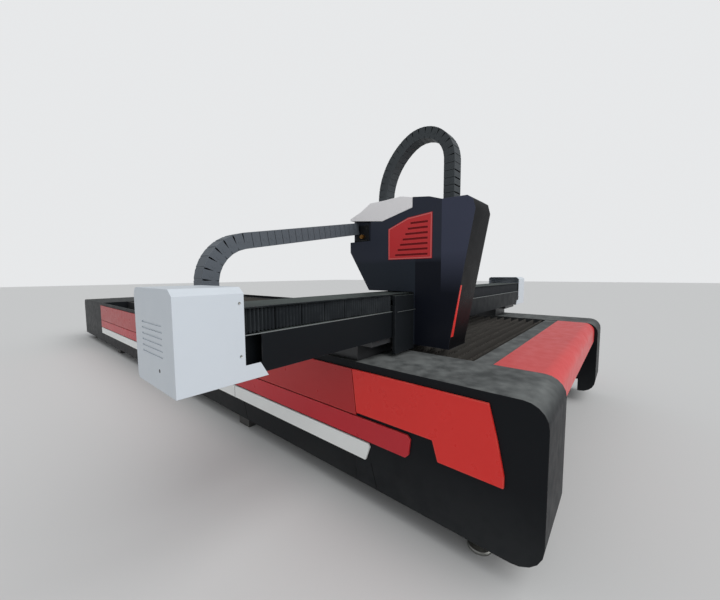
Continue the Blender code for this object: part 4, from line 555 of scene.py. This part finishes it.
STRIPE_JOINT_Y = 2.118
for side, side_name in ((-1, "near"), (1, "far")):
    low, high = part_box(side_name + "_white_stripe")
    face_x = high.x if side > 0 else low.x
    mesh = bmesh.new()
    edges = sorted((face_x - side * 0.0002, face_x + side * 0.0003))
    slab(mesh, (edges[0], STRIPE_JOINT_Y, low.z + 0.004), (edges[1], STRIPE_JOINT_Y + 0.004, high.z - 0.004))
    finished(mesh, side_name + "_white_stripe_joint", [seam_dark], "bed")

# Nose and front cross panel
# A rolled sheet nose in red paint across the front of the bed, with a little dust on top,
# over a folded cross panel with a round spigot for the fume duct.
nose_red = coated("nose_red_paint", (208, 50, 52), 0.34, dust=0.15, rubbed=0.35, bare=(225, 120, 110),
                  gloss=0.45, dust_tone=tone(150, 112, 104))
redrawn("front_cover", "front_cover_sheet", nose_red, "bed", 0.004, crease=40)

# Beam
# A welded box beam in charcoal paint, with a folded lower panel whose lip catches the light,
# and the two guide rails and the rack on its front. The rack is module 2, with its teeth facing down.
beam_paint = coated("beam_paint", (24, 27, 30), 0.42, dust=0.85, gloss=0.08, rubbed=0.3, bare=(100, 103, 105),
                    dust_tone=tone(86, 93, 90))
redrawn("beam", "beam_box", beam_paint, "gantry", 0.003)
redrawn("beam_lower_panel", "beam_lower_sheet", beam_paint, "gantry", 0.002)
dress(ground_steel, "lower_x_rail", "upper_x_rail", "near_y_pinion", "far_y_pinion", "x_pinion", "z_screw")

X_TOOTH_PITCH = math.pi * 0.002
X_TOOTH_DEPTH = 0.0044
low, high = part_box("x_rack")
mesh = bmesh.new()
placing = Matrix(((1, 0, 0, low.x), (0, 0, 1, low.y), (0, -1, 0, high.z), (0, 0, 0, 1)))
teeth = int((high.x - low.x) / X_TOOTH_PITCH)
toothed_strip(mesh, placing, X_TOOTH_PITCH, teeth, high.z - low.z, X_TOOTH_DEPTH, high.y - low.y, 4)
finished(outward(mesh), "x_rack_teeth", [ground_steel], "gantry", ["x_rack"])

# A light strip along the lower panel's lip is partly painted highlight, where the lip catches the light, and
# partly rubbed steel.
lip_highlight_steel = coated("lip_highlight_and_wear", (132, 137, 137), 0.34, dust=0.1, rubbed=0.0, metal=0.5)
low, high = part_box("beam_lower_panel")
LIP_TOP = 1.1305
LIP_NEAR_X = -2.290
LIP_FAR_X = 1.640
mesh = bmesh.new()
slab(mesh, (LIP_NEAR_X, low.y - 0.0001, LIP_TOP - 0.0045), (LIP_FAR_X, low.y + 0.0004, LIP_TOP - 0.0004))
finished(mesh, "lip_highlight_and_wear", [lip_highlight_steel], "gantry")

# End covers
# Deep folded sheet boxes in white paint that close both ends of the beam, with rounded corners
# and small louvres; each is held by socket-head screws.
for side_name in ("near", "far"):
    redrawn(side_name + "_end_cover", side_name + "_end_box", white_paint, "gantry", 0.010,
            room=2.2)


def socket_screw(mesh, place, facing, radius):
    """A socket-head screw that stands on a face, with its socket pressed in."""
    facing = Vector(facing)
    turn = facing.to_track_quat("Z", "Y").to_matrix().to_4x4()
    middle = Vector(place) + facing * radius * 0.25
    made = bmesh.ops.create_cone(mesh, cap_ends=True, segments=12, radius1=radius, radius2=radius * 0.92,
                                 depth=radius * 0.5, matrix=Matrix.Translation(middle) @ turn)
    faces = {face for vert in made["verts"] for face in vert.link_faces}
    head = max(faces, key=lambda face: face.calc_center_median().dot(facing))
    bmesh.ops.inset_region(mesh, faces=[head], thickness=radius * 0.45, use_even_offset=True)
    bmesh.ops.translate(mesh, verts=head.verts, vec=facing * radius * -0.3)


screw_steel = coated("plated_screws", (165, 165, 160), 0.3, dust=0.2, metal=0.9, rubbed=0.0)
NEAR_SCREW_INSET = 0.228
FAR_SCREW_INSET = 0.267
HOLE_Y = 0.731
HOLE_Z = 1.024
for side, side_name in ((-1, "near"), (1, "far")):
    low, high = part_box(side_name + "_end_cover")
    mesh = bmesh.new()
    screw_x = low.x + NEAR_SCREW_INSET if side < 0 else high.x - FAR_SCREW_INSET
    for z in (low.z + 0.10, high.z - 0.06):
        socket_screw(mesh, (screw_x, low.y, z), (0, -1, 0), 0.005)
        socket_screw(mesh, (screw_x, high.y, z), (0, 1, 0), 0.005)
    finished(outward(mesh), side_name + "_end_screws", [screw_steel], "gantry")

    inside_x = low.x + 0.0032 if side < 0 else high.x - 0.0052
    mesh = bmesh.new()
    slab(mesh, (inside_x, low.y + 0.090, low.z + 0.110), (inside_x + 0.0020, high.y - 0.070, low.z + 0.246))
    finished(mesh, side_name + "_end_screen", [white_paint], "gantry")

vent_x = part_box("near_end_cover")[0].x
# The small hole in the near cover's side is a thin dark disc: painted shade.
mesh = bmesh.new()
drum(mesh, (vent_x + 0.00036, HOLE_Y, HOLE_Z), (1, 0, 0), 0.007, 0.0008, 20)
finished(mesh, "near_end_hole_shade", [hole_shade], "gantry")

# Saddles and Y motors
# Welded steel saddles that carry the beam on four guide blocks, each with a servo motor
# that stands on a planetary gearbox over its pinion.
for side_name in ("near", "far"):
    redrawn(side_name + "_saddle", side_name + "_saddle_weldment", frame_paint, "gantry",
            0.002, 2)


def servo_motor(mesh, size, length, gearbox):
    """A servo motor standing up along z from its flange, over a round gearbox if it has one."""
    half = size / 2
    if gearbox:
        drum(mesh, (0, 0, gearbox * 0.5), (0, 0, 1), half * 0.92, gearbox, 36, 0.003)
        drum(mesh, (0, 0, gearbox * 0.30), (0, 0, 1), half * 0.96, 0.012, 36, 0.002)
        drum(mesh, (0, 0, gearbox * 0.62), (0, 0, 1), half * 0.96, 0.012, 36, 0.002)
    slab(mesh, (-half, -half, gearbox), (half, half, gearbox + 0.014), 0.004)
    body_top = length - size * 0.42
    slab(mesh, (-half * 0.94, -half * 0.94, gearbox + 0.014), (half * 0.94, half * 0.94, body_top),
         size * 0.10, 3)
    for index in range(5):
        z = gearbox + 0.03 + index * (body_top - gearbox - 0.05) / 5
        slab(mesh, (-half * 0.965, -half * 0.70, z), (half * 0.965, half * 0.70, z + 0.006), 0.001)
        slab(mesh, (-half * 0.70, -half * 0.965, z), (half * 0.70, half * 0.965, z + 0.006), 0.001)
    slab(mesh, (-half * 0.90, -half * 0.90, body_top), (half * 0.90, half * 0.90, length), size * 0.12, 3)
    for x in (-1, 1):
        for y in (-1, 1):
            socket_screw(mesh, (x * half * 0.84, y * half * 0.84, gearbox + 0.014), (0, 0, 1), size * 0.035)
    drum(mesh, (0, half * 0.72, body_top - size * 0.10), (0, 1, 0), size * 0.14, half * 0.48, 20, 0.002)


Y_GEARBOX_HEIGHT = 0.164
motor_black = coated("motor_black", (30, 31, 33), 0.42, dust=0.45, gloss=0.35, rubbed=0.3,
                     bare=(120, 120, 122))
for side_name in ("near", "far"):
    low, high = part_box(side_name + "_y_motor")
    mesh = bmesh.new()
    servo_motor(mesh, high.x - low.x, high.z - low.z, Y_GEARBOX_HEIGHT)
    bmesh.ops.translate(mesh, verts=mesh.verts, vec=((low.x + high.x) / 2, (low.y + high.y) / 2, low.z))
    finished(outward(mesh), side_name + "_y_servo", [motor_black], "gantry",
             [side_name + "_y_motor"])

# Bellows
# Coated fabric folded in sharp pleats over the beam's rails, glued to the carriage plate
# and to the end covers.


def pleated_cloth(name, start, end, pleats):
    """A pleated cover from one x to another: two columns to a pleat, turned back at its top and bottom."""
    low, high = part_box("near_bellows")
    mesh = bmesh.new()
    made = bmesh.ops.create_grid(mesh, x_segments=pleats * 2, y_segments=5, size=0.5)
    crest_rows = ((high.y, low.z), (low.y + 0.001, low.z), (low.y, low.z + 0.004), (low.y, high.z - 0.004),
                  (low.y + 0.001, high.z), (high.y, high.z))
    fold_rows = ((high.y, low.z + 0.012), (high.y - 0.006, low.z + 0.012), (high.y - 0.007, low.z + 0.015),
                 (high.y - 0.007, high.z - 0.015), (high.y - 0.006, high.z - 0.012), (high.y, high.z - 0.012))
    along = mesh.loops.layers.uv.new("along")
    spots = {}
    for vert in made["verts"]:
        step = round((vert.co.x + 0.5) * pleats * 2)
        row = round((vert.co.y + 0.5) * 5)
        y, z = (crest_rows if step % 2 == 1 else fold_rows)[row]
        spots[vert] = (step / 2, row / 5)
        vert.co = Vector((start + (end - start) * step / (pleats * 2), y, z))
    for face in mesh.faces:
        for loop in face.loops:
            loop[along].uv = spots[loop.vert]
    bmesh.ops.recalc_face_normals(mesh, faces=mesh.faces)
    if sum(face.normal.y for face in mesh.faces) > 0:
        bmesh.ops.reverse_faces(mesh, faces=mesh.faces)
    piece = finished(mesh, name, [bellows_cloth], None, (), 20)
    piece.modifiers.remove(piece.modifiers["even_shading"])
    wall = piece.modifiers.new("cloth_thickness", "SOLIDIFY")
    wall.thickness = 0.0012
    wall.offset = -1.0
    return piece


def follow_share(piece, axis, start, end, low_share, high_share):
    """Works out how piece would run part of the way from one body to the other, low_share at start and
    high_share at end, but only bakes its placing into its mesh.
    """
    low_turn, high_turn = (0.5 - math.sin(math.asin(1 - 2 * share) / 3) for share in (low_share, high_share))
    run = (end - start) / (high_turn - low_turn)
    begin = start - low_turn * run
    ends = [Vector((0.0, 0.0, 0.0)), Vector((0.0, 0.0, 0.0))]
    ends[0]["xyz".index(axis)] = begin
    ends[1]["xyz".index(axis)] = begin + run
    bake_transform(piece)


bellows_cloth = coated("bellows_cloth", (54, 58, 62), 0.55, dust=0.25, rubbed=0.5, bare=(88, 93, 96),
                       gloss=0.3, grain=900.0, relief=0.2)
low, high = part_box("near_bellows")
NEAR_PLEATS = 56
NEAR_PARTS = 7
for part in range(NEAR_PARTS):
    start = low.x + (high.x - low.x) * part / NEAR_PARTS
    end = low.x + (high.x - low.x) * (part + 1) / NEAR_PARTS
    piece = pleated_cloth(f"near_bellows_{part + 1}", start, end, NEAR_PLEATS // NEAR_PARTS)
    follow_share(piece, "x", start, end, part / NEAR_PARTS, (part + 1) / NEAR_PARTS)
    if part == 0:
        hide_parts("near_bellows")
low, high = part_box("far_bellows")
far_cloth = pleated_cloth("far_bellows_cloth", low.x, high.x, NEAR_PLEATS)
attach(far_cloth, "gantry")
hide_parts("far_bellows")
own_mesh(far_cloth)

# Energy chains
# Moulded links, each of two side plates that overlap the next ones and snap-in bars across them.
# One chain lies in a tray behind the beam, and one arches over the housing.


def chain_link(length, width, height):
    """One link along x, from its pivot to the next one, with its middle line on y 0 and z 0."""
    mesh = bmesh.new()
    wall = 0.005
    for side in (-1, 1):
        plate = sorted((side * width / 2, side * (width / 2 - wall)))
        slab(mesh, (0.02 * length, plate[0], -height / 2), (0.98 * length, plate[1], height / 2), 0.0012)
        plate = sorted((side * (width / 2 - 0.0006), side * (width / 2 - 2 * wall)))
        slab(mesh, (-0.16 * length, plate[0], -height * 0.475), (1.16 * length, plate[1], height * 0.475),
             0.001, 1)
        drum(mesh, (0.5 * length, side * width / 2, 0), (0, 1, 0), height * 0.13, 0.0016, 16)
        bar = sorted((side * height / 2, side * (height / 2 - 0.005)))
        slab(mesh, (0.08 * length, -width / 2 + wall, bar[0]), (0.92 * length, width / 2 - wall, bar[1]),
             0.0015, 1)
        bar = sorted((side * (height / 2 - 0.003), side * (height / 2 - 0.007)))
        slab(mesh, (-0.12 * length, -width / 2 + wall, bar[0]), (1.12 * length, width / 2 - wall, bar[1]))
    bmesh.ops.recalc_face_normals(mesh, faces=mesh.faces)
    data = bpy.data.meshes.new("link")
    mesh.to_mesh(data)
    mesh.free()
    return data


def stations(path, pitch):
    """Points along a path of short steps, a pitch apart, from its start."""
    found = [path[0]]
    left = pitch
    for start, end in zip(path, path[1:]):
        length = (end - start).length
        done = 0.0
        while length - done >= left:
            done += left
            found.append(start.lerp(end, done / length))
            left = pitch
        left -= length - done
    return found


def linked(name, data, joints, sideways, material, parts):
    """Links between the joints, in pieces: each part has a name's end and its first and last link."""
    sideways = Vector(sideways)
    made = []
    for ending, first, last in parts:
        mesh = bmesh.new()
        for start, end in zip(joints[first:last], joints[first + 1:last + 1]):
            forward = (end - start).normalized()
            upward = forward.cross(sideways)
            before = len(mesh.verts)
            mesh.from_mesh(data)
            mesh.verts.ensure_lookup_table()
            placing = Matrix((forward, sideways, upward)).transposed().to_4x4()
            bmesh.ops.transform(mesh, matrix=Matrix.Translation(start) @ placing, verts=mesh.verts[before:])
        made.append(finished(outward(mesh), name + ending, [material], None))
    return made


def bend(middle, radius, start, end, place):
    """Points on a bend between two angles; place makes a point of its two coordinates."""
    angles = [math.radians(start + (end - start) * step / 60) for step in range(61)]
    return [place(middle[0] + radius * math.cos(angle), middle[1] + radius * math.sin(angle))
            for angle in angles]


def shown_share(joints, test):
    """How many joints come before the first that passes the test."""
    return next(index for index, joint in enumerate(joints) if test(joint))


chain_plastic = coated("chain_plastic", (90, 96, 103), 0.46, dust=0.35, rubbed=0.3, bare=(125, 131, 138),
                       gloss=0.3, grain=500.0, dust_tone=tone(118, 122, 122))
dark_chain = coated("dark_chain_plastic", (62, 67, 70), 0.46, dust=0.3, rubbed=0.3, bare=(98, 104, 108),
                    gloss=0.25, grain=500.0)
X_BEND = (-1.965, 1.311)
X_BEND_RADIUS = 0.232
X_CHAIN_RISE = 9.8
X_CHAIN_Y = 1.115
X_CHAIN_END = -0.10
X_CHAIN_TOP_END = -1.060
X_CHAIN_HELD = -1.09
CHAIN_WIDTH = 0.095


def behind_beam(x, z):
    """A point on the X chain's middle line."""
    return Vector((x, X_CHAIN_Y, z))


def over_housing(y, z):
    """A point on the Z chain's middle line."""
    return Vector((-0.975, y, z))


path = [behind_beam(X_CHAIN_END, X_BEND[1] - X_BEND_RADIUS)]
path += bend(X_BEND, X_BEND_RADIUS, 270, 90 + X_CHAIN_RISE, behind_beam)
rise = math.radians(X_CHAIN_RISE)
upper_z = path[-1].z + (X_CHAIN_TOP_END - path[-1].x) * math.tan(rise)
path.append(behind_beam(X_CHAIN_TOP_END, upper_z))
X_LINK = 0.050
X_LINK_HEIGHT = 0.086
joints = stations(path, X_LINK)
low_count = shown_share(joints, lambda joint: joint.x < X_BEND[0])
high_count = shown_share(joints,
                         lambda joint: joint.z > X_BEND[1] + X_BEND_RADIUS * 0.95 and joint.x > X_BEND[0])
link = chain_link(X_LINK, CHAIN_WIDTH, X_LINK_HEIGHT)
parts = [("_lower", 0, low_count), ("_bend", low_count, high_count), ("_upper", high_count, len(joints) - 1)]
runs = linked("x_chain", link, joints, (0, 1, 0), chain_plastic, parts)
follow_share(runs[0], "x", X_CHAIN_END, X_BEND[0], 0.0, 0.5)
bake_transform(runs[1])
follow_share(runs[2], "x", X_BEND[0], X_CHAIN_HELD, 0.5, 1.0)
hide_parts("x_chain")

Z_BEND = (0.570, 2.074)
Z_BEND_RADIUS = 0.199
Z_WIDE_RADIUS = 0.414
Z_WIDE_TURN = 60
rise = math.radians(Z_WIDE_TURN)
wide_bend = (Z_BEND[0] - (Z_WIDE_RADIUS - Z_BEND_RADIUS) * math.cos(rise),
             Z_BEND[1] - (Z_WIDE_RADIUS - Z_BEND_RADIUS) * math.sin(rise))
Z_CHAIN_REAR = 1.870
Z_CHAIN_FRONT = 1.702
path = [over_housing(wide_bend[0] + Z_WIDE_RADIUS, Z_CHAIN_REAR)]
path += bend(wide_bend, Z_WIDE_RADIUS, 0, Z_WIDE_TURN, over_housing)
path += bend(Z_BEND, Z_BEND_RADIUS, Z_WIDE_TURN, 180, over_housing)
path.append(over_housing(Z_BEND[0] - Z_BEND_RADIUS, Z_CHAIN_FRONT))
Z_LINK = 0.045
Z_LINK_HEIGHT = 0.0712
joints = stations(path, Z_LINK)
turn_z = wide_bend[1] + Z_WIDE_RADIUS * math.sin(rise)
rear_count = shown_share(joints, lambda joint: joint.z > turn_z)
front_count = shown_share(joints, lambda joint: joint.z < Z_BEND[1] and joint.y < Z_BEND[0])
link = chain_link(Z_LINK, CHAIN_WIDTH, Z_LINK_HEIGHT)
parts = [("_rear", 0, rear_count), ("_arch", rear_count, front_count),
         ("_front", front_count, len(joints) - 1)]
runs = linked("z_chain", link, joints, (1, 0, 0), dark_chain, parts)
follow_share(runs[0], "z", Z_CHAIN_REAR, turn_z, 0.0, 0.5)
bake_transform(runs[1])
follow_share(runs[2], "z", Z_BEND[1], Z_CHAIN_FRONT, 0.5, 1.0)
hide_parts("z_chain")
dress(zinc, "x_chain_tray")

# Carriage plate and drive
# A machined steel plate on four guide blocks, painted, with the X servo motor in front of it
# and the Z servo motor standing above the slide.
plate_paint = coated("plate_paint", (31, 34, 37), 0.42, dust=0.85, gloss=0.08, rubbed=0.3,
                     bare=(100, 103, 105), dust_tone=tone(86, 93, 90))
redrawn("carriage_plate", "carriage_plate_machined", plate_paint, "carriage", 0.002, 2)
low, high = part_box("carriage_plate")
# The same light strip runs across the plate at the lip's height: painted highlight, partly rubbed steel.
mesh = bmesh.new()
slab(mesh, (low.x + 0.003, low.y - 0.0003, LIP_TOP - 0.0035),
     (low.x + 0.218, low.y + 0.0003, LIP_TOP - 0.0004))
finished(mesh, "plate_highlight_line", [lip_highlight_steel], "carriage")
low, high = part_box("x_motor")
mesh = bmesh.new()
servo_motor(mesh, high.x - low.x, high.y - low.y, 0.0)
turn = Matrix.Rotation(math.radians(90), 4, "X")
place = Matrix.Translation(((low.x + high.x) / 2, high.y, (low.z + high.z) / 2))
bmesh.ops.transform(mesh, matrix=place @ turn, verts=mesh.verts)
finished(outward(mesh), "x_servo", [motor_black], "carriage", ["x_motor"])
low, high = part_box("z_motor")
mesh = bmesh.new()
servo_motor(mesh, high.x - low.x, high.z - low.z, 0.0)
bmesh.ops.translate(mesh, verts=mesh.verts, vec=((low.x + high.x) / 2, (low.y + high.y) / 2, low.z))
finished(outward(mesh), "z_servo", [motor_black], "carriage", ["z_motor"])

# Carriage housing
# Bent sheet in satin charcoal, with a white moulded cap over its crest, a red louvred panel on the near
# side, a red strip down its front corner and a brass cable gland on a black bracket in its opening.
FOLD_Y = 0.381
REAR_SHEET_Y = 0.563


def sheet_tones(hood, body, rear, low_tone_and_reflection):
    """The housing's tones: the hood before the fold line, lighter as a painted highlight, the body, the rear
    sheet, and a dark low part that is partly paint and partly painted reflection.
    """
    colours = [("Hood", tone(*hood)), ("Body", tone(*body)), ("Rear", tone(*rear)), ("Low", tone(*low_tone_and_reflection))]
    group, given, result = group_with("sheet_tones", [], colours, [("Colour", "NodeSocketColor")])
    place = group.nodes.new("ShaderNodeSeparateXYZ")
    group.links.new(group.nodes.new("ShaderNodeTexCoord").outputs["Object"], place.inputs[0])
    behind_fold = reckoned(group, "GREATER_THAN", place.outputs["Y"], FOLD_Y)
    behind_body = reckoned(group, "GREATER_THAN", place.outputs["Y"], REAR_SHEET_Y)
    # Towards the bottom the hood fades from its painted highlight to the dark low tone, and the body darkens
    # below 1.45 m; this darkening is partly painted reflection.
    hood_fade_to_reflection = ranged(group, place.outputs["Z"], 1.50, 1.24, 0.0, 1.0)
    body_low_and_reflection = ranged(group, place.outputs["Z"], 1.47, 1.43, 0.0, 1.0)
    hood_tone = tinted(group, hood_fade_to_reflection, given.outputs["Hood"], given.outputs["Low"])
    body_tone = tinted(group, body_low_and_reflection, given.outputs["Body"], given.outputs["Low"])
    rear_tone = tinted(group, body_low_and_reflection, given.outputs["Body"], given.outputs["Rear"])
    before = tinted(group, behind_fold, hood_tone, body_tone)
    group.links.new(tinted(group, behind_body, before, rear_tone), result.inputs["Colour"])
    return group


# Its finish comes from the housing's tones: a painted highlight on the hood and a dark low part that is
# partly painted reflection.
housing_paint_and_reflections = coated("housing_paint_and_reflections", (44, 46, 54), 0.36, dust=0.35, gloss=0.12, rubbed=0.3,
                       bare=(105, 109, 118), uneven=0.15)
# The hood's front faces are painted near-black: painted dark reflection, darker than the lamp alone would
# make them.
hood_front_dark_reflection = coated("hood_front_painted_reflection", (20, 20, 22), 0.30, dust=0.1, gloss=0.05, rubbed=0.3,
                    bare=(105, 109, 118), uneven=0.1)
housing_tree = housing_paint_and_reflections.node_tree
sheets = housing_tree.nodes.new("ShaderNodeGroup")
sheets.node_tree = sheet_tones((68, 72, 90), (50, 54, 66), (41, 47, 56), (23, 26, 35))
skin = next(node for node in housing_tree.nodes if node.type == "GROUP" and node.node_tree == worn_skin)
housing_tree.links.new(sheets.outputs["Colour"], skin.inputs["Finish"])
cap_white = coated("cap_white", (254, 251, 252), 0.32, dust=0.12, rubbed=0.0, gloss=0.4, uneven=0.02,
                   dust_tone=tone(225, 222, 222))
louvre_red = coated("louvre_red_paint", (208, 44, 48), 0.34, dust=0.1, rubbed=0.3, bare=(224, 112, 110),
                    gloss=0.4)
louvre_pink = coated("louvre_border", (224, 112, 110), 0.4, dust=0.1, rubbed=0.0, gloss=0.3)
louvre_shade_red = coated("louvre_painted_shade", (122, 20, 25), 0.6, dust=0.0, rubbed=0.0, gloss=0.2)
mesh = rounded_copy("housing", 0.004)
mesh.normal_update()
# Faces of the hood that look forward take the near-black material: painted dark reflection.
for face in mesh.faces:
    if face.normal.y < -0.6 and face.calc_center_median().y < FOLD_Y:
        face.material_index = 1
finished(mesh, "housing_sheet", [housing_paint_and_reflections, hood_front_dark_reflection], "carriage", ["housing"])
redrawn("housing_cap", "housing_cap_moulding", cap_white, "carriage", 0.004)
redrawn("louvre_panel", "louvre_sheet", louvre_red, "carriage", 0.0012, 2)

# A dark red sheet behind the louvre slots: painted shade inside the louvres.
low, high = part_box("louvre_panel")
mesh = bmesh.new()
outline = [(0.468, 1.466), (0.764, 1.466), (0.764, 1.659), (0.618, 1.717), (0.468, 1.733)]
drawn_out(mesh, [(high.x + 0.0001, y, z) for y, z in outline], (0.0001, 0, 0))
finished(outward(mesh), "louvre_painted_shade", [louvre_shade_red], "carriage")

mesh = bmesh.new()
outer = [(0.446, 1.461), (0.771, 1.461), (0.771, 1.665), (0.619, 1.7235), (0.446, 1.7415)]
inner = [(0.452, 1.467), (0.765, 1.467), (0.765, 1.661), (0.617, 1.7175), (0.452, 1.735)]
for index in range(5):
    after = (index + 1) % 5
    side = [outer[index], outer[after], inner[after], inner[index]]
    drawn_out(mesh, [(low.x - 0.0003, y, z) for y, z in side], (0.0004, 0, 0))
finished(outward(mesh), "louvre_edging", [louvre_pink], "carriage")

brass = coated("gland_brass", (176, 128, 66), 0.34, dust=0.1, rubbed=0.1, metal=0.9)
bracket_black = coated("bracket_black", (26, 27, 30), 0.5, dust=0.3, gloss=0.25, rubbed=0.3)
GLAND_Y = 1.036
GLAND_Z = 1.640
BRACKET_FRONT = 0.985
BRACKET_REAR = 1.105
NOTCH_DEPTH = 0.048
notch_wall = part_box("housing")[0].x + NOTCH_DEPTH
mesh = bmesh.new()
slab(mesh, (notch_wall - 0.004, BRACKET_FRONT, 1.600), (notch_wall, BRACKET_REAR, 1.725), 0.0015)
slab(mesh, (notch_wall - 0.030, BRACKET_FRONT, 1.606), (notch_wall - 0.002, BRACKET_REAR, 1.612), 0.0015)
for y in (1.005, 1.085):
    socket_screw(mesh, (notch_wall - 0.004, y, 1.700), (-1, 0, 0), 0.005)
before = len(mesh.faces)
drum(mesh, (notch_wall - 0.016, GLAND_Y, GLAND_Z), (1, 0, 0), 0.017, 0.026, 6, 0.002)
drum(mesh, (notch_wall - 0.032, GLAND_Y, GLAND_Z), (1, 0, 0), 0.012, 0.012, 24, 0.002)
paint_new(mesh, before, 1)
finished(outward(mesh), "cable_gland", [bracket_black, brass], "carriage")
redrawn("corner_strip", "corner_strip_sheet", bright_red, "carriage", 0.002, 2)

# Z slide and cutting head
# An aluminium slide on a short rail, with the cutting head clamped to it: anodised blocks for the optics,
# a protective-window drawer, and a copper nozzle in a ceramic holder.
aluminium = coated("machined_aluminium", (178, 180, 184), 0.32, dust=0.2, rubbed=0.0, metal=0.9, grain=500.0)
copper = coated("nozzle_copper", (196, 120, 82), 0.28, dust=0.0, rubbed=0.0, metal=1.0)
ceramic = coated("ceramic", (222, 218, 208), 0.4, dust=0.0, rubbed=0.0)
redrawn("z_slide", "z_slide_machined", aluminium, "head", 0.0015, 2)
BODY_LOW = 1.150
LENS_BLOCK = (1.060, 1.147)
DRAWER = (1.006, 1.057)
DRAWER_FACE = (1.018, 1.046)
SENSOR_Z = 0.985
CERAMIC_Z = 0.955
NOZZLE_NUT_Z = 0.930
low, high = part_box("cutting_head")
middle = (low + high) / 2
mesh = bmesh.new()
slab(mesh, (low.x, low.y, BODY_LOW), (high.x, high.y, high.z), 0.006, 3)
slab(mesh, (low.x + 0.006, low.y + 0.006, LENS_BLOCK[0]), (high.x - 0.006, high.y, LENS_BLOCK[1]), 0.005, 3)
before = len(mesh.faces)
slab(mesh, (low.x + 0.002, low.y + 0.002, DRAWER[0]), (high.x - 0.002, high.y, DRAWER[1]), 0.004, 3)
slab(mesh, (low.x + 0.012, low.y, DRAWER_FACE[0]), (high.x - 0.012, low.y + 0.008, DRAWER_FACE[1]), 0.002)
paint_new(mesh, before, 1)
drum(mesh, (middle.x, middle.y, SENSOR_Z), (0, 0, 1), 0.034, 0.040, 40, 0.003)
before = len(mesh.faces)
drum(mesh, (middle.x, middle.y, CERAMIC_Z), (0, 0, 1), 0.026, 0.022, 40, 0.003)
paint_new(mesh, before, 2)
drum(mesh, (middle.x, middle.y, NOZZLE_NUT_Z), (0, 0, 1), 0.022, 0.030, 40, 0.002)
before = len(mesh.faces)
outline = [(0.0, 0.915), (0.018, 0.915), (0.018, 0.895), (0.009, 0.872), (0.004, low.z), (0.0, low.z)]
spun(mesh, middle, outline, 40)
paint_new(mesh, before, 3)
bmesh.ops.remove_doubles(mesh, verts=mesh.verts, dist=0.00002)
finished(outward(mesh), "cutting_head_detail", [aluminium, motor_black, ceramic, copper], "head",
         ["cutting_head"])
